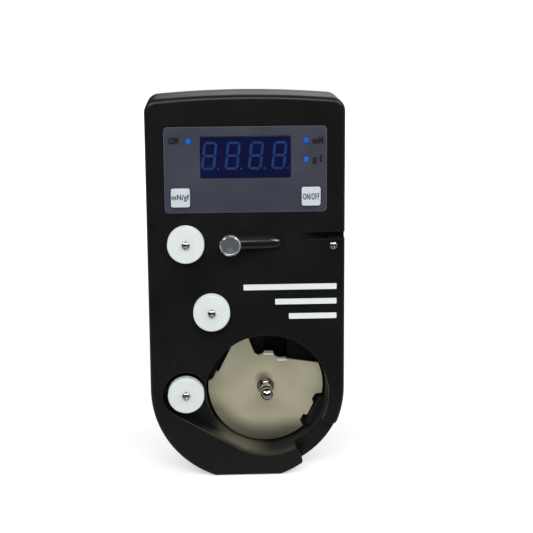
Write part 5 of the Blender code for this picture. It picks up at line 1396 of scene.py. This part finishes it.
def makeLight():
    for k, (place, power, wide, deep) in enumerate(light["softboxes"]):
        data = bpy.data.lights.new("softbox%d" % k, "AREA")
        data.shape, data.energy, data.size, data.size_y = "RECTANGLE", power, wide, deep
        lamp = bpy.data.objects.new(data.name, data)
        lamp.location = place
        ahead = Vector(light["aim"]) - Vector(place)
        lamp.rotation_euler = ahead.to_track_quat("-Z", "Y").to_euler()
        bpy.context.scene.collection.objects.link(lamp)
    world = bpy.data.worlds.new("studio")
    world.use_nodes = True
    bpy.context.scene.world = world
    world.node_tree.nodes.clear()
    sky = Nodes(world.node_tree)
    # for reflections the room is dark on the camera's side and at the left, and pale behind
    # the gauge; diffuse light comes evenly from all round, and the camera sees white
    smooth, single = {"interpolation_type": "SMOOTHSTEP"}, {"data_type": "FLOAT"}
    where = sky.node("ShaderNodeTexCoord", out="Generated")
    across = sky.node("ShaderNodeSeparateXYZ", None, {0: where}, "X")
    room = sky.node("ShaderNodeMapRange", smooth, {
        "Value": across.other("Y"), "From Min": -light["room"], "From Max": light["room"],
        "To Min": light["dark"], "To Max": light["bright"]})
    start, end = light["leftEnds"]
    side = sky.node("ShaderNodeMapRange", smooth, {
        "Value": across, "From Min": start, "From Max": end, "To Min": light["left"]})
    seen = sky.node("ShaderNodeLightPath", out="Is Camera Ray")
    diffuse = sky.node("ShaderNodeMix", single, {0: seen.other("Is Diffuse Ray"),
                                                 2: room * side, 3: light["soft"]})
    strength = sky.node("ShaderNodeMix", single, {0: seen, 2: diffuse, 3: 1.0})
    background = sky.node("ShaderNodeBackground", None, {"Color": (1, 1, 1),
                                                         "Strength": strength})
    sky.feed(sky.tree.nodes.new("ShaderNodeOutputWorld").inputs[0], background)


table = {"radius": 1500, "paper": 0.7, "paperChange": 0.98, "glow": 0.5, "horizon": 0.5,
         "horizonEnds": (0.15, 0.7), "ahead": (-0.12, 0.0), "share": 0.5}


def makeFloor():
    # wide round floor; its own glow for camera rays lifts it to white, and in reflections
    # the pale table ends a hand's breadth before the gauge
    k, paper = table, table["paper"]
    outline = circle(0, -faceY / mm, k["radius"], 128)
    floor = makePiece("floor", np.column_stack([outline, np.zeros(128)]), [list(range(128))])
    look = Look("floorPaper", roughness=0.9, specular=0.1)
    shade = look.noise(300, 2).fit(0, 1)
    look.put(color=look.mix(shade, (paper,) * 3, (paper * k["paperChange"],) * 3))
    seen = look.node("ShaderNodeLightPath", out="Is Camera Ray")
    ahead = look.axis("Y").fit(*k["ahead"])
    horizon = look.vector("LENGTH", look.place, out="Value").fit(*k["horizonEnds"])
    glow = look.node("ShaderNodeEmission", None, {
        "Color": (1.0, 1.0, 1.0),
        "Strength": (seen + seen.other("Is Transmission Ray"))
        * (horizon * k["horizon"] + k["glow"])})
    both = look.node("ShaderNodeAddShader", None, {0: Wire(look, look.shader.outputs[0]), 1: glow})
    dark = look.node("ShaderNodeBsdfDiffuse", None, {"Color": (0.02, 0.02, 0.02)})
    shown = look.node("ShaderNodeMixShader", None, {
        0: seen.other("Is Glossy Ray") * (1 - ahead * k["share"]), 1: both, 2: dark})
    look.tree.links.new(shown.socket, look.tree.nodes["Material Output"].inputs["Surface"])
    floor.data.materials.append(look.material)


makeCamera()
makeLight()
makeFloor()
bpy.context.scene.view_settings.view_transform = "Standard"
print("camera, light and floor ready")
